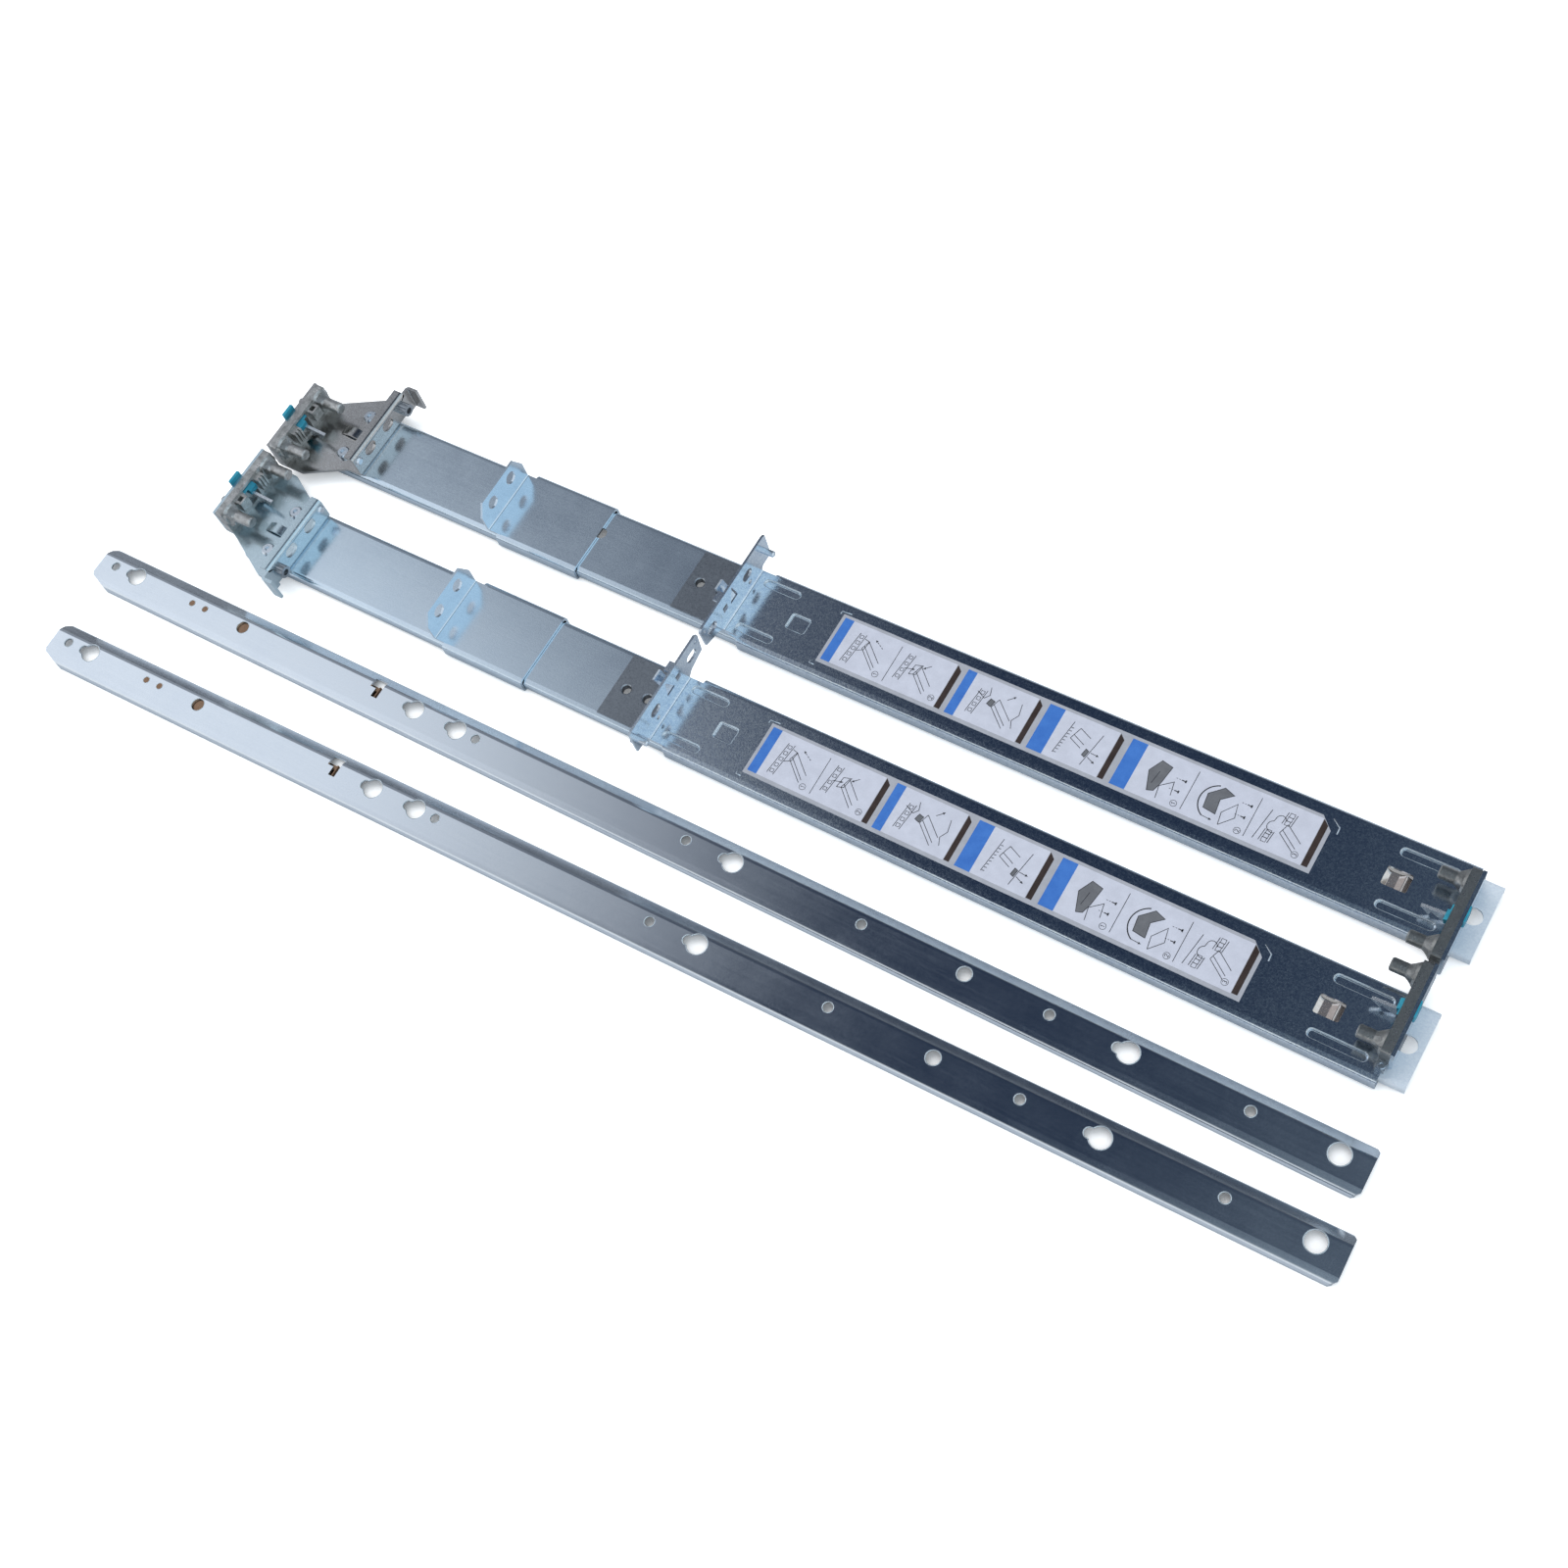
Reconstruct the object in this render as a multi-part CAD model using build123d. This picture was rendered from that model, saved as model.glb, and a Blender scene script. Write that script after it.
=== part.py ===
from build123d import *
import os

# Static rail kit: two mirrored outer rails and two inner rails, lying side by side.
# Millimetres. Each outer rail is drawn in its own frame: x runs to the front latch,
# x = 0 on the centre tab's front face, y = 0 half way between the two post pins,
# z = 0 on the web of the outer channel. FLOOR is where its lips rest.

# Sheet and fits
SHEET = 1.2
BRACKET_SHEET = 1.6
SLIDE_GAP = 0.2
RUN_GAP = 0.05
BEND = 2.2
TIGHT_BEND = 1.4
LIP_BEND = 1.0

# Places of the members in the shared frame
ORIGIN = (-21.96, 64.25, 9.7)
RIGHT_RAIL_FORWARD = -1.0
ROW_GAP = 2.7
RIGHT_SLEEVE_FORWARD = 12.3
INNER_PLACES = {"inner_rail_a": (0.0, -108.5, 0.24), "inner_rail_b": (6.3, -150.4, 1.21)}

# Outer channel
CHANNEL_WIDTH = 41.0
CHANNEL_DEPTH = 9.7
CHANNEL_CENTRE = 9.2
CHANNEL_LOW = CHANNEL_CENTRE - CHANNEL_WIDTH / 2
CHANNEL_HIGH = CHANNEL_CENTRE + CHANNEL_WIDTH / 2
CHANNEL_FRONT = 354.2
FLANGE_START = 7.5
LIP = 8.4
FLOOR = -CHANNEL_DEPTH

# Where the castings stand, front and rear
BRACKET_HALF = 21.5
RIGHT_RAIL = (RIGHT_RAIL_FORWARD, -2 * BRACKET_HALF - ROW_GAP)
BRACKET_TOP = 14.5
CASTING_DEPTH = 4.3
CASTING_INNER = CHANNEL_FRONT - 2.9
CASTING_OUTER = CASTING_INNER + CASTING_DEPTH
REAR_CASTING_INNER = -266.5
REAR_MIRROR_SUM = CASTING_INNER + REAR_CASTING_INNER
REAR_BACK = REAR_CASTING_INNER - CASTING_DEPTH - BRACKET_SHEET

# Pressed features of the outer channel
PRESS = 1.0
BEAD_WIDTH = 4.5
REAR_BEADS = {"x": (4.0, 24.6), "y": (CHANNEL_LOW + 7.4, CHANNEL_HIGH - 7.1)}
FRONT_BEADS = {"x": (CHANNEL_FRONT - 32.7, CHANNEL_FRONT - 6.6), "y": (CHANNEL_LOW + 7.1, CHANNEL_HIGH - 7.8)}
SQUARE_PRESS = {"x": (25.8, 36.3), "y": (5.0, 13.8), "corner": 1.4}
WINDOW = {"x": (CHANNEL_FRONT - 34.3, CHANNEL_FRONT - 23.1), "y": (4.6, 13.5), "corner": 1.0}

# Centre tab, outline in y and z
TAB_FOLD = (CHANNEL_LOW + 2.9, CHANNEL_HIGH - 1.9)
TAB_TOP = 19.0
TAB_EARS = (-22.2, 36.5)
TAB_FAR_EDGE = [(TAB_FOLD[1], -4.0), (TAB_FOLD[1], 1.4), (TAB_FOLD[1] + 1.6, 2.6), (TAB_EARS[1], 2.6),
                (TAB_EARS[1], 18.2), (TAB_EARS[1] - 1.9, TAB_TOP)]
TAB_NEAR_EDGE = [(TAB_EARS[0] + 1.6, TAB_TOP), (TAB_EARS[0], 17.4), (TAB_EARS[0] + 0.7, 5.6),
                 (TAB_FOLD[0] - 2.8, 3.0), (TAB_FOLD[0], 0.6), (TAB_FOLD[0], -4.0)]
TAB_OUTLINE = TAB_FAR_EDGE + TAB_NEAR_EDGE
TAB_SLOTS = {"y": (-14.25, 17.5), "z": 10.6, "length": 7.6, "width": 5.2}
TAB_SMALL_HOLE = {"y": 17.8, "z": 4.4, "r": 1.3}
EAR_SMALL_HOLE = {"y": -19.6, "z": 15.0, "r": 1.0}
CATCH_WINDOW = [(1.6, 8.2), (7.8, 8.2), (6.4, 16.8), (5.4, 16.8)]
CATCH_FLAP = [(0.0, 6.6), (-1.2, 6.6), (-6.6, 18.0), (-5.4, 18.4)]
CATCH_FLAP_Y = (1.2, 7.0)
CATCH_SQUARE = {"y": (-4.2, -0.6), "z": (8.6, 12.4)}
TAB_HEM = {"y": (-4.6, 0.8), "reach": 2.6}
TAB_SCREW_AT = (33.2, 9.4)

# Label
LABEL = {"x": (48.6, 292.5), "y": (CHANNEL_LOW + 6.9, CHANNEL_HIGH - 6.5), "thickness": 0.15, "chamfer": 5.7}

# Leaf spring seen through the window
LEAF_SHEET = 0.5
LEAF_WIDTH = 8.0
LEAF_LINE = [(-8.9, 0.0), (-1.3, 0.0), (1.9, -1.9), (5.7, -1.9), (8.5, -0.5), (10.7, -2.1), (14.7, -2.1)]

# Castings, plates and post pins
CASTING_FOOT = -2.8
FOOT_CHAMFER = 0.8
PIN_SPACING = 31.75
PIN_HEIGHT = 9.4
PIN_RADIUS = 3.0
PIN_CHAMFER = 0.6
FRONT_PIN_LENGTH = 11.5
REAR_PIN_LENGTH = 14.6
BOSS_RADIUS = 6.0
BOSS_STEP = 1.2
BOSS_LENGTH = 4.4
SQUARE_SHOULDER = 8.4
PLATE_FLANGE = {"x": CASTING_INNER - 14.3, "y": (-1.5, 19.0)}
PLATE_LEVEL = -2.8

# Front lip of the inner track
TRACK_LIP = {"x": (CASTING_INNER - 13.3, CASTING_INNER + 13.9), "bottom": -7.8,
             "y": (CHANNEL_LOW + SHEET + 0.1, CHANNEL_HIGH - SHEET - 2.1)}
TRACK_LIP_HOLE = {"x": CASTING_INNER + 7.3, "y": 8.4, "r": 4.0}

# Latch: hook, button, pivot and spring
LATCH_SLOT_HALF = 4.0
LATCH_BRIDGE = 12.9
LATCH_SLOT_FLOOR = 0.5
PLATE_NOTCH_FLOOR = 9.4
PIVOT = (CASTING_INNER + 2.1, 9.2)
PIVOT_RADIUS = 1.0
PIVOT_HALF_LENGTH = 7.0
HOOK_SHEET = 1.5
HOOK_EYE = 2.0
HOOK_TEETH = [(-14.4, 7.0), (-10.6, 2.0), (-9.7, 5.4), (-3.6, 0.7), (-3.0, 5.0)]
HOOK_ROOT = [(0.0, 7.2), (0.0, 11.2), (-2.8, 8.4)]
BUTTON_KNOB = [(-0.3, 7.0), (-0.3, 10.4), (3.8, 10.4), (4.7, 12.2), (4.6, 15.2), (3.6, 16.8),
               (BRACKET_SHEET + 0.3, 16.8), (BRACKET_SHEET + 0.3, 12.3)]
BUTTON_ROOT = [(0.3, 12.0), (-1.9, 10.6), (-1.5, 7.2)]
BUTTON_FRONT = CASTING_OUTER + 4.8
BUTTON_CORNER = 2.4
BUTTON_SIDE_GAP = 0.2
BUTTON_RELIEF = {"y": 1.2, "z": 11.3}
SPRING_WIRE = 0.25
SPRING_RADIUS = 1.55
SPRING_PITCH = 0.62
SPRING_TURNS = 3
SPRING_SIDE = 1.75
SPRING_LEG_GAP = 0.4
REAR_HOOK_EXTRA = 1.8

# Clamp screw at the corner of the front casting
CLAMP = {"x": (CASTING_INNER + 0.3, CASTING_OUTER - 0.2), "y": (BRACKET_HALF, BRACKET_HALF + 3.7), "top": 4.4}
CLAMP_HEAD = (1.7, 0.9)
CLAMP_SHANK = (1.45, 2.6)

# Slide plate on the extension
SLIDE_PLATE = {"x": (-32.1, 2.5), "y": (CHANNEL_LOW + 3.7, CHANNEL_HIGH - 3.6), "thickness": 1.0}
FORMED_HOLES = {"x": (-25.5, -13.4), "y": 9.7, "r": 2.3, "rim": 0.8, "depth": 2.6}

# Extension channel
EXTENSION_X = (REAR_CASTING_INNER + 11.5, CHANNEL_FRONT - 54.2)
EXTENSION_TOP = -2.4
EXTENSION_BOTTOM = -8.0
EXTENSION_HOLE = {"x": -87.3, "y": 13.8, "r": 3.0}

# Sleeve with its two-hole tab
SLEEVE_X = (-141.4, -87.5)
SLEEVE_LIP = 3.0
SLEEVE_TAB_TOP = 16.5
SLEEVE_TAB_Y = (CHANNEL_LOW + 2.3, CHANNEL_HIGH - 2.7)
SLEEVE_TAB_OUTLINE = [
    (SLEEVE_TAB_Y[0], -6.0), (SLEEVE_TAB_Y[1], -6.0), (SLEEVE_TAB_Y[1], 8.6),
    (SLEEVE_TAB_Y[1] - 4.4, SLEEVE_TAB_TOP), (SLEEVE_TAB_Y[0] + 4.4, SLEEVE_TAB_TOP), (SLEEVE_TAB_Y[0], 8.6),
]
SLEEVE_FLANGE_START = -136.0
TAB_HOLES = {"y": (1.1, 16.975), "z": 9.6, "r": 3.5}

# Rear bracket, one sheet with an upstand at each end
REAR_FLANGE_X = -224.4
REAR_FLANGE_TOP = 15.0
REAR_FLANGE_Y = (-9.4, 36.3)
REAR_LIP = 5.0
REAR_PLAN_NEAR = [(REAR_BACK, -BRACKET_HALF), (REAR_BACK + 16.4, -BRACKET_HALF + 0.2),
                  (REAR_FLANGE_X - 9.6, REAR_FLANGE_Y[0]), (REAR_FLANGE_X + 4.4, REAR_FLANGE_Y[0])]
REAR_PLAN_FAR = [(REAR_FLANGE_X + 4.4, REAR_FLANGE_Y[1]), (REAR_FLANGE_X - 13.6, REAR_FLANGE_Y[1]),
                 (REAR_BACK + 10.8, BRACKET_HALF + 2.5), (REAR_BACK + 5.4, BRACKET_HALF),
                 (REAR_BACK, BRACKET_HALF)]
REAR_PLAN = REAR_PLAN_NEAR + REAR_PLAN_FAR
REAR_SLOTS = {"y": (3.5, 19.375), "z": 6.5, "length": 8.4, "width": 6.4}
REAR_EAR = {"y": 41.6, "forward": 6.2, "z": (-3.4, 11.0)}
BRIDGE = {"x": (-250.5, -237.0), "y": (7.3, 13.1), "rise": 2.6}
PLATE_SCREWS = {"x": -241.4, "y": (CHANNEL_LOW + 9.0, CHANNEL_HIGH - 7.5)}
PLATE_SCREW_HEAD = (3.5, 2.2)
PLATE_SCREW_RADIUS = 1.95
PLATE_SCREW_LENGTH = 5.0
THREAD_RIM = 1.1
THREAD_RIM_DEPTH = 2.0

# Lugs on the rear casting
SQUARE_LUG = {"x": 4.5, "y": (5.2, 11.0), "z": (6.4, 13.2), "hole": 3.0}
RIB_BLOCK = {"x": 4.2, "y": (-9.6, -4.6), "z": (5.0, 13.0), "groove": 0.9}
OUTER_LUG = {"y": 10.8, "z": 9.5, "r": 1.9, "x": REAR_BACK - 3.6}
PIN_SHOULDER = {"wide": (11.0, 8.4), "narrow": (7.0, 6.4), "length": 3.4, "drop": (1.0, 0.4)}

# Small fasteners on the tabs
NUT_AT = (31.2, 6.4)
NUT_RADIUS = 3.2
NUT_BORE = 1.7
NUT_LENGTH = 5.4
KNURL_DEPTH = 0.35
KNURL_COUNT = 14
STUD_AT = (-6.4, 10.8)
STUD_HEAD = (2.3, 1.5)
STUD_SHANK = (1.4, 6.6)
TAB_SCREW_HEAD = (3.0, 2.0)
TAB_SCREW_SHANK = (1.6, 5.6)
SOCKET_DEPTH = 0.9
SOCKET_RADIUS = {"plate": 1.5, "tab": 1.2, "clamp": 0.9}

# Inner rails
INNER_X = (-328.5, 366.0)
INNER_LINE = [(9.4, 0.0), (9.4, 1.5), (4.4, 5.1), (-12.4, 5.1), (-12.4, 0.0)]
INNER_BENDS = (0.9, 2.2, 3.4)
SMALL_HOLE = 2.5
MEDIUM_HOLE = 3.5
BIG_HOLE = 4.85
SMALL_HOLES_X = (-318.4, -80.9, 40.3, 132.7, 224.4, 314.8)
MEDIUM_HOLES_X = (-229.8, 183.9)
BIG_HOLE_X = 352.6
KEYHOLES_X = (-303.0, -118.2, -92.3, 65.6, 260.8)
KEYHOLE_RADIUS = 5.0
KEYHOLE_SLOT = 5.0
KEYHOLE_REACH = 7.4
RIVETS_X = (-264.4, -255.6)
RIVET_RADIUS = 1.8
RIVET_HEAD = (2.8, 0.6)
REAR_NOSE = [(-1.0, -14.0), (14.0, -14.0), (7.0, -11.2), (1.4, -9.2), (-1.0, -5.8)]
REAR_CORNER = [(-1.0, 12.0), (-1.0, 6.6), (4.6, 12.0)]
FRONT_NOSE_NEAR = [(1.0, -14.0), (-4.4, -14.0), (1.0, -9.6)]
FRONT_NOSE_FAR = [(1.0, 11.0), (-2.6, 11.0), (1.0, 7.4)]
J_WINDOW = {"x": (-147.0, -140.0), "y": (-3.2, 7.0), "bar_x": -143.6, "bar_y": 1.4}
LOCK_SPRING = {"x": (-270.0, -139.6), "half": 3.0, "sheet": 0.6, "drop": 1.6, "barb": 2.4,
               "root": 40.0, "tip": 30.0}


def between(low, high):
    """A box given by two opposite corners."""
    size = [b - a for a, b in zip(low, high)]
    middle = [(a + b) / 2 for a, b in zip(low, high)]
    return Pos(*middle) * Box(*size)


def centre_line(points, bends):
    """A line through the middle of a sheet, with a round bend at each corner."""
    return FilletPolyline(*points, radius=bends)


def fold_along_x(points, thickness, bends, x_range):
    """A bent sheet whose section, in y and z, stays the same along x."""
    section = Plane.YZ * trace(centre_line(points, bends), line_width=thickness)
    return Pos(x_range[0], 0, 0) * extrude(section, amount=x_range[1] - x_range[0])


def fold_along_y(points, thickness, bends, y_range):
    """A bent sheet whose section, in x and z, stays the same along y."""
    section = Plane.XZ * trace(centre_line(points, bends), line_width=thickness)
    return Pos(0, y_range[1], 0) * extrude(section, amount=y_range[1] - y_range[0])


def plate_facing_x(outline, x_range):
    """A flat blank drawn in y and z."""
    blank = Plane.YZ * make_face(Polyline(*outline, close=True))
    return Pos(x_range[0], 0, 0) * extrude(blank, amount=x_range[1] - x_range[0])


def plate_facing_y(outline, y_range):
    """A flat blank drawn in x and z."""
    blank = Plane.XZ * make_face(Polyline(*outline, close=True))
    return Pos(0, y_range[1], 0) * extrude(blank, amount=y_range[1] - y_range[0])


def plate_facing_z(outline, z_range):
    """A flat blank drawn in x and y."""
    blank = make_face(Polyline(*outline, close=True))
    return Pos(0, 0, z_range[0]) * extrude(blank, amount=z_range[1] - z_range[0])


def rod_x(radius, x_range, y, z):
    """A round bar along x."""
    length = abs(x_range[1] - x_range[0])
    return Pos(sum(x_range) / 2, y, z) * Rot(0, 90, 0) * Cylinder(radius, length)


def rod_y(radius, x, y_range, z):
    """A round bar along y."""
    length = y_range[1] - y_range[0]
    return Pos(x, sum(y_range) / 2, z) * Rot(90, 0, 0) * Cylinder(radius, length)


def rod_z(radius, x, y, z_range):
    """A round bar along z."""
    length = abs(z_range[1] - z_range[0])
    return Pos(x, y, sum(z_range) / 2) * Cylinder(radius, length)


def slot_facing_x(slot, y, x_range):
    """A long hole through a tab, its length along y."""
    shape = Plane.YZ * Pos(y, slot["z"]) * SlotOverall(slot["length"], slot["width"])
    return Pos(x_range[0], 0, 0) * extrude(shape, amount=x_range[1] - x_range[0])


def c_section(width, top, bottom, lip, x_range):
    """A channel open downwards, with lips turned in when lip is above zero."""
    half = width / 2 - SHEET / 2
    web = top - SHEET / 2
    foot = bottom + SHEET / 2
    points = [(-half, bottom), (-half, web), (half, web), (half, bottom)]
    bends = BEND
    if lip > 0:
        inner = width / 2 - lip
        points = [(-inner, foot), (-half, foot), (-half, web), (half, web), (half, foot), (inner, foot)]
        bends = (LIP_BEND, BEND, BEND, LIP_BEND)
    return Pos(0, CHANNEL_CENTRE, 0) * fold_along_x(points, SHEET, bends, x_range)


def pressing(outline, centre, top):
    """The pocket that a press leaves above a sheet and the bulge that it leaves below."""
    down = Plane(origin=(centre[0], centre[1], top), z_dir=(0, 0, -1))
    pocket = extrude(down * outline, amount=PRESS, taper=35)
    bulge_top = Plane(origin=(centre[0], centre[1], top - SHEET + 0.1), z_dir=(0, 0, -1))
    bulge = extrude(bulge_top * outline, amount=PRESS + 0.1, taper=30)
    return pocket, bulge


def channel_pressings():
    """Every bead and the square mark of the outer channel."""
    pairs = []
    for beads in (REAR_BEADS, FRONT_BEADS):
        low, high = beads["x"]
        for y in beads["y"]:
            outline = SlotOverall(high - low, BEAD_WIDTH)
            pairs.append(pressing(outline, ((low + high) / 2, y), 0.0))
    x, y = SQUARE_PRESS["x"], SQUARE_PRESS["y"]
    outline = RectangleRounded(x[1] - x[0], y[1] - y[0], SQUARE_PRESS["corner"])
    pairs.append(pressing(outline, (sum(x) / 2, sum(y) / 2), 0.0))
    return pairs


def tab_openings():
    """Slots, holes and the lanced catch window of the centre tab."""
    through = (-SHEET - 1, 1)
    return [slot_facing_x(TAB_SLOTS, y, through) for y in TAB_SLOTS["y"]] + [
        rod_x(TAB_SMALL_HOLE["r"], through, TAB_SMALL_HOLE["y"], TAB_SMALL_HOLE["z"]),
        rod_x(EAR_SMALL_HOLE["r"], through, EAR_SMALL_HOLE["y"], EAR_SMALL_HOLE["z"]),
        rod_x(TAB_SCREW_SHANK[0], through, *TAB_SCREW_AT),
        plate_facing_x(CATCH_WINDOW, through),
        between((through[0], CATCH_SQUARE["y"][0], CATCH_SQUARE["z"][0]),
                (through[1], CATCH_SQUARE["y"][1], CATCH_SQUARE["z"][1])),
    ]


def centre_tab():
    """The channel's rear end, folded up into the tab with its two ears."""
    middle = -SHEET / 2
    line = [(middle, TAB_TOP), (middle, middle), (FLANGE_START + BEND, middle)]
    wide = (TAB_EARS[0] - 1, TAB_EARS[1] + 1)
    sheet = fold_along_y(line, SHEET, TIGHT_BEND, wide)
    keep = plate_facing_x(TAB_OUTLINE, (-4, 0))
    neck = between((-4, TAB_FOLD[0], -4), (FLANGE_START + BEND, TAB_FOLD[1], 2))
    tab = sheet & (keep + neck)
    for opening in tab_openings():
        tab -= opening
    tab += plate_facing_y(CATCH_FLAP, CATCH_FLAP_Y)
    reach, y = TAB_HEM["reach"], TAB_HEM["y"]
    tab += between((-SHEET - reach, y[0], TAB_TOP - SHEET), (0, y[1], TAB_TOP))
    return tab


def outer_channel():
    """One folded sheet: web, flanges, lips, centre tab, beads and window."""
    body = c_section(CHANNEL_WIDTH, 0.0, FLOOR, LIP, (FLANGE_START, CHANNEL_FRONT)) + centre_tab()
    for pocket, bulge in channel_pressings():
        body = body + bulge - pocket
    x, y = WINDOW["x"], WINDOW["y"]
    window = RectangleRounded(x[1] - x[0], y[1] - y[0], WINDOW["corner"])
    body -= Pos(sum(x) / 2, sum(y) / 2, -SHEET - 1) * extrude(window, amount=SHEET + 2)
    clamp_x, clamp_y = sum(CLAMP["x"]) / 2, sum(CLAMP["y"]) / 2
    body -= rod_z(CLAMP_SHANK[0], clamp_x, clamp_y, (-SHEET - 1, 1))
    return body


def instruction_label():
    """The long sticker with one cut corner."""
    x, y, cut = LABEL["x"], LABEL["y"], LABEL["chamfer"]
    outline = [(x[0], y[0]), (x[1], y[0]), (x[1], y[1] - cut), (x[1] - cut, y[1]), (x[0], y[1])]
    return plate_facing_z(outline, (0.0, LABEL["thickness"]))


def turned_label(label):
    """The label turned over end for end in y, so that both rails carry it the same way round."""
    return Pos(0, sum(LABEL["y"]), 0) * mirror(label, about=Plane.XZ)


def window_leaf_spring():
    """The waved leaf under the window."""
    level = -SHEET - LEAF_SHEET / 2
    line = [(WINDOW["x"][0] + x, level + z) for x, z in LEAF_LINE]
    middle = sum(WINDOW["y"]) / 2
    return fold_along_y(line, LEAF_SHEET, 0.6, (middle - LEAF_WIDTH / 2, middle + LEAF_WIDTH / 2))


def post_pin(side, length):
    """A pin with a square shoulder on a round boss, pointing to -x."""
    y = side * PIN_SPACING / 2
    face = CASTING_INNER
    tip = face - length
    boss = Plane(origin=(face, y, PIN_HEIGHT), z_dir=(-1, 0, 0))
    cone = extrude(boss * Circle(BOSS_RADIUS), amount=BOSS_STEP, taper=38)
    square = Plane(origin=(face - BOSS_STEP / 2, y, PIN_HEIGHT), z_dir=(-1, 0, 0))
    round_end = Plane(origin=(face - BOSS_LENGTH, y, PIN_HEIGHT), z_dir=(-1, 0, 0))
    shoulder = loft([square * Rectangle(SQUARE_SHOULDER, SQUARE_SHOULDER), round_end * Circle(PIN_RADIUS)])
    bar = rod_x(PIN_RADIUS, (tip, face), y, PIN_HEIGHT)
    bar = chamfer(bar.edges().sort_by(Axis.X)[0], PIN_CHAMFER)
    return cone + shoulder + bar


def casting_block(pin_length, base):
    """The die-cast body with the latch slot and two post pins."""
    low = (CASTING_INNER, -BRACKET_HALF, base)
    block = between(low, (CASTING_OUTER, BRACKET_HALF, BRACKET_TOP))
    block = fillet(block.edges().filter_by(Axis.X).group_by(Axis.Z)[-1], 1.2)
    block = chamfer(block.edges().filter_by(Axis.Y).group_by(Axis.Z)[0].sort_by(Axis.X)[-1], FOOT_CHAMFER)
    for side in (-1, 1):
        block += post_pin(side, pin_length)
    slot_low = (CASTING_INNER - 2, -LATCH_SLOT_HALF, LATCH_SLOT_FLOOR)
    block -= between(slot_low, (CASTING_OUTER + 2, LATCH_SLOT_HALF, LATCH_BRIDGE))
    block -= rod_y(PIVOT_RADIUS, PIVOT[0], (-PIVOT_HALF_LENGTH, PIVOT_HALF_LENGTH), PIVOT[1])
    return block


def front_casting():
    """Stands on the web and steps down beside the channel."""
    block = casting_block(FRONT_PIN_LENGTH, 0.0)
    edge = CHANNEL_CENTRE - CHANNEL_WIDTH / 2 - SLIDE_GAP
    return block + between((CASTING_INNER, -BRACKET_HALF, CASTING_FOOT), (CASTING_OUTER, edge, 1.0))


def front_bracket_plate():
    """Steel face plate of the front casting, folded back under the web."""
    middle = CASTING_OUTER + BRACKET_SHEET / 2
    level = PLATE_LEVEL + BRACKET_SHEET / 2
    line = [(PLATE_FLANGE["x"], level), (middle, level), (middle, BRACKET_TOP)]
    sheet = fold_along_y(line, BRACKET_SHEET, TIGHT_BEND, (-BRACKET_HALF, BRACKET_HALF))
    flange_y = PLATE_FLANGE["y"]
    under = between((PLATE_FLANGE["x"], flange_y[0], -5), (CASTING_OUTER, flange_y[1], 0))
    face = between((CASTING_OUTER, -BRACKET_HALF, -5), (CASTING_OUTER + 5, BRACKET_HALF, BRACKET_TOP))
    notch = (CASTING_OUTER - 1, -LATCH_SLOT_HALF, PLATE_NOTCH_FLOOR)
    plate = sheet & (under + face)
    return plate - between(notch, (CASTING_OUTER + 5, LATCH_SLOT_HALF, LATCH_BRIDGE))


def front_track_lip():
    """The lip that leads the inner rail into the channel."""
    y, bottom = TRACK_LIP["y"], TRACK_LIP["bottom"]
    top = PLATE_LEVEL - SHEET / 2
    side = SHEET / 2
    points = [(y[0] + side, bottom), (y[0] + side, top), (y[1] - side, top), (y[1] - side, bottom)]
    body = fold_along_x(points, SHEET, TIGHT_BEND, TRACK_LIP["x"])
    hole = TRACK_LIP_HOLE
    return body - rod_z(hole["r"], hole["x"], hole["y"], (PLATE_LEVEL - 3, PLATE_LEVEL + 1))


def front_clamp_screw():
    """Small block and screw that hold the casting's corner to the web."""
    x, y = CLAMP["x"], CLAMP["y"]
    centre = (sum(x) / 2, sum(y) / 2)
    block = between((x[0], y[0], 0.0), (x[1], y[1], CLAMP["top"]))
    block += rod_z(CLAMP_HEAD[0], *centre, (CLAMP["top"], CLAMP["top"] + CLAMP_HEAD[1]))
    block += rod_z(CLAMP_SHANK[0], *centre, (-CLAMP_SHANK[1], 0.0))
    outline = RegularPolygon(SOCKET_RADIUS["clamp"], 6)
    socket = Pos(*centre, CLAMP["top"]) * extrude(outline, amount=CLAMP_HEAD[1] + 1)
    return block - socket


def latch_hook(extra):
    """The toothed steel arm that catches the edge of a post hole."""
    outline = [(PIVOT[0] + x - extra, z) for x, z in HOOK_TEETH]
    outline += [(PIVOT[0] + x, z) for x, z in HOOK_ROOT]
    half = HOOK_SHEET / 2
    arm = plate_facing_y(outline, (-half, half))
    arm += rod_y(HOOK_EYE, PIVOT[0], (-half, half), PIVOT[1])
    return arm - rod_y(PIVOT_RADIUS + RUN_GAP, PIVOT[0], (-half - 1, half + 1), PIVOT[1])


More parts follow.
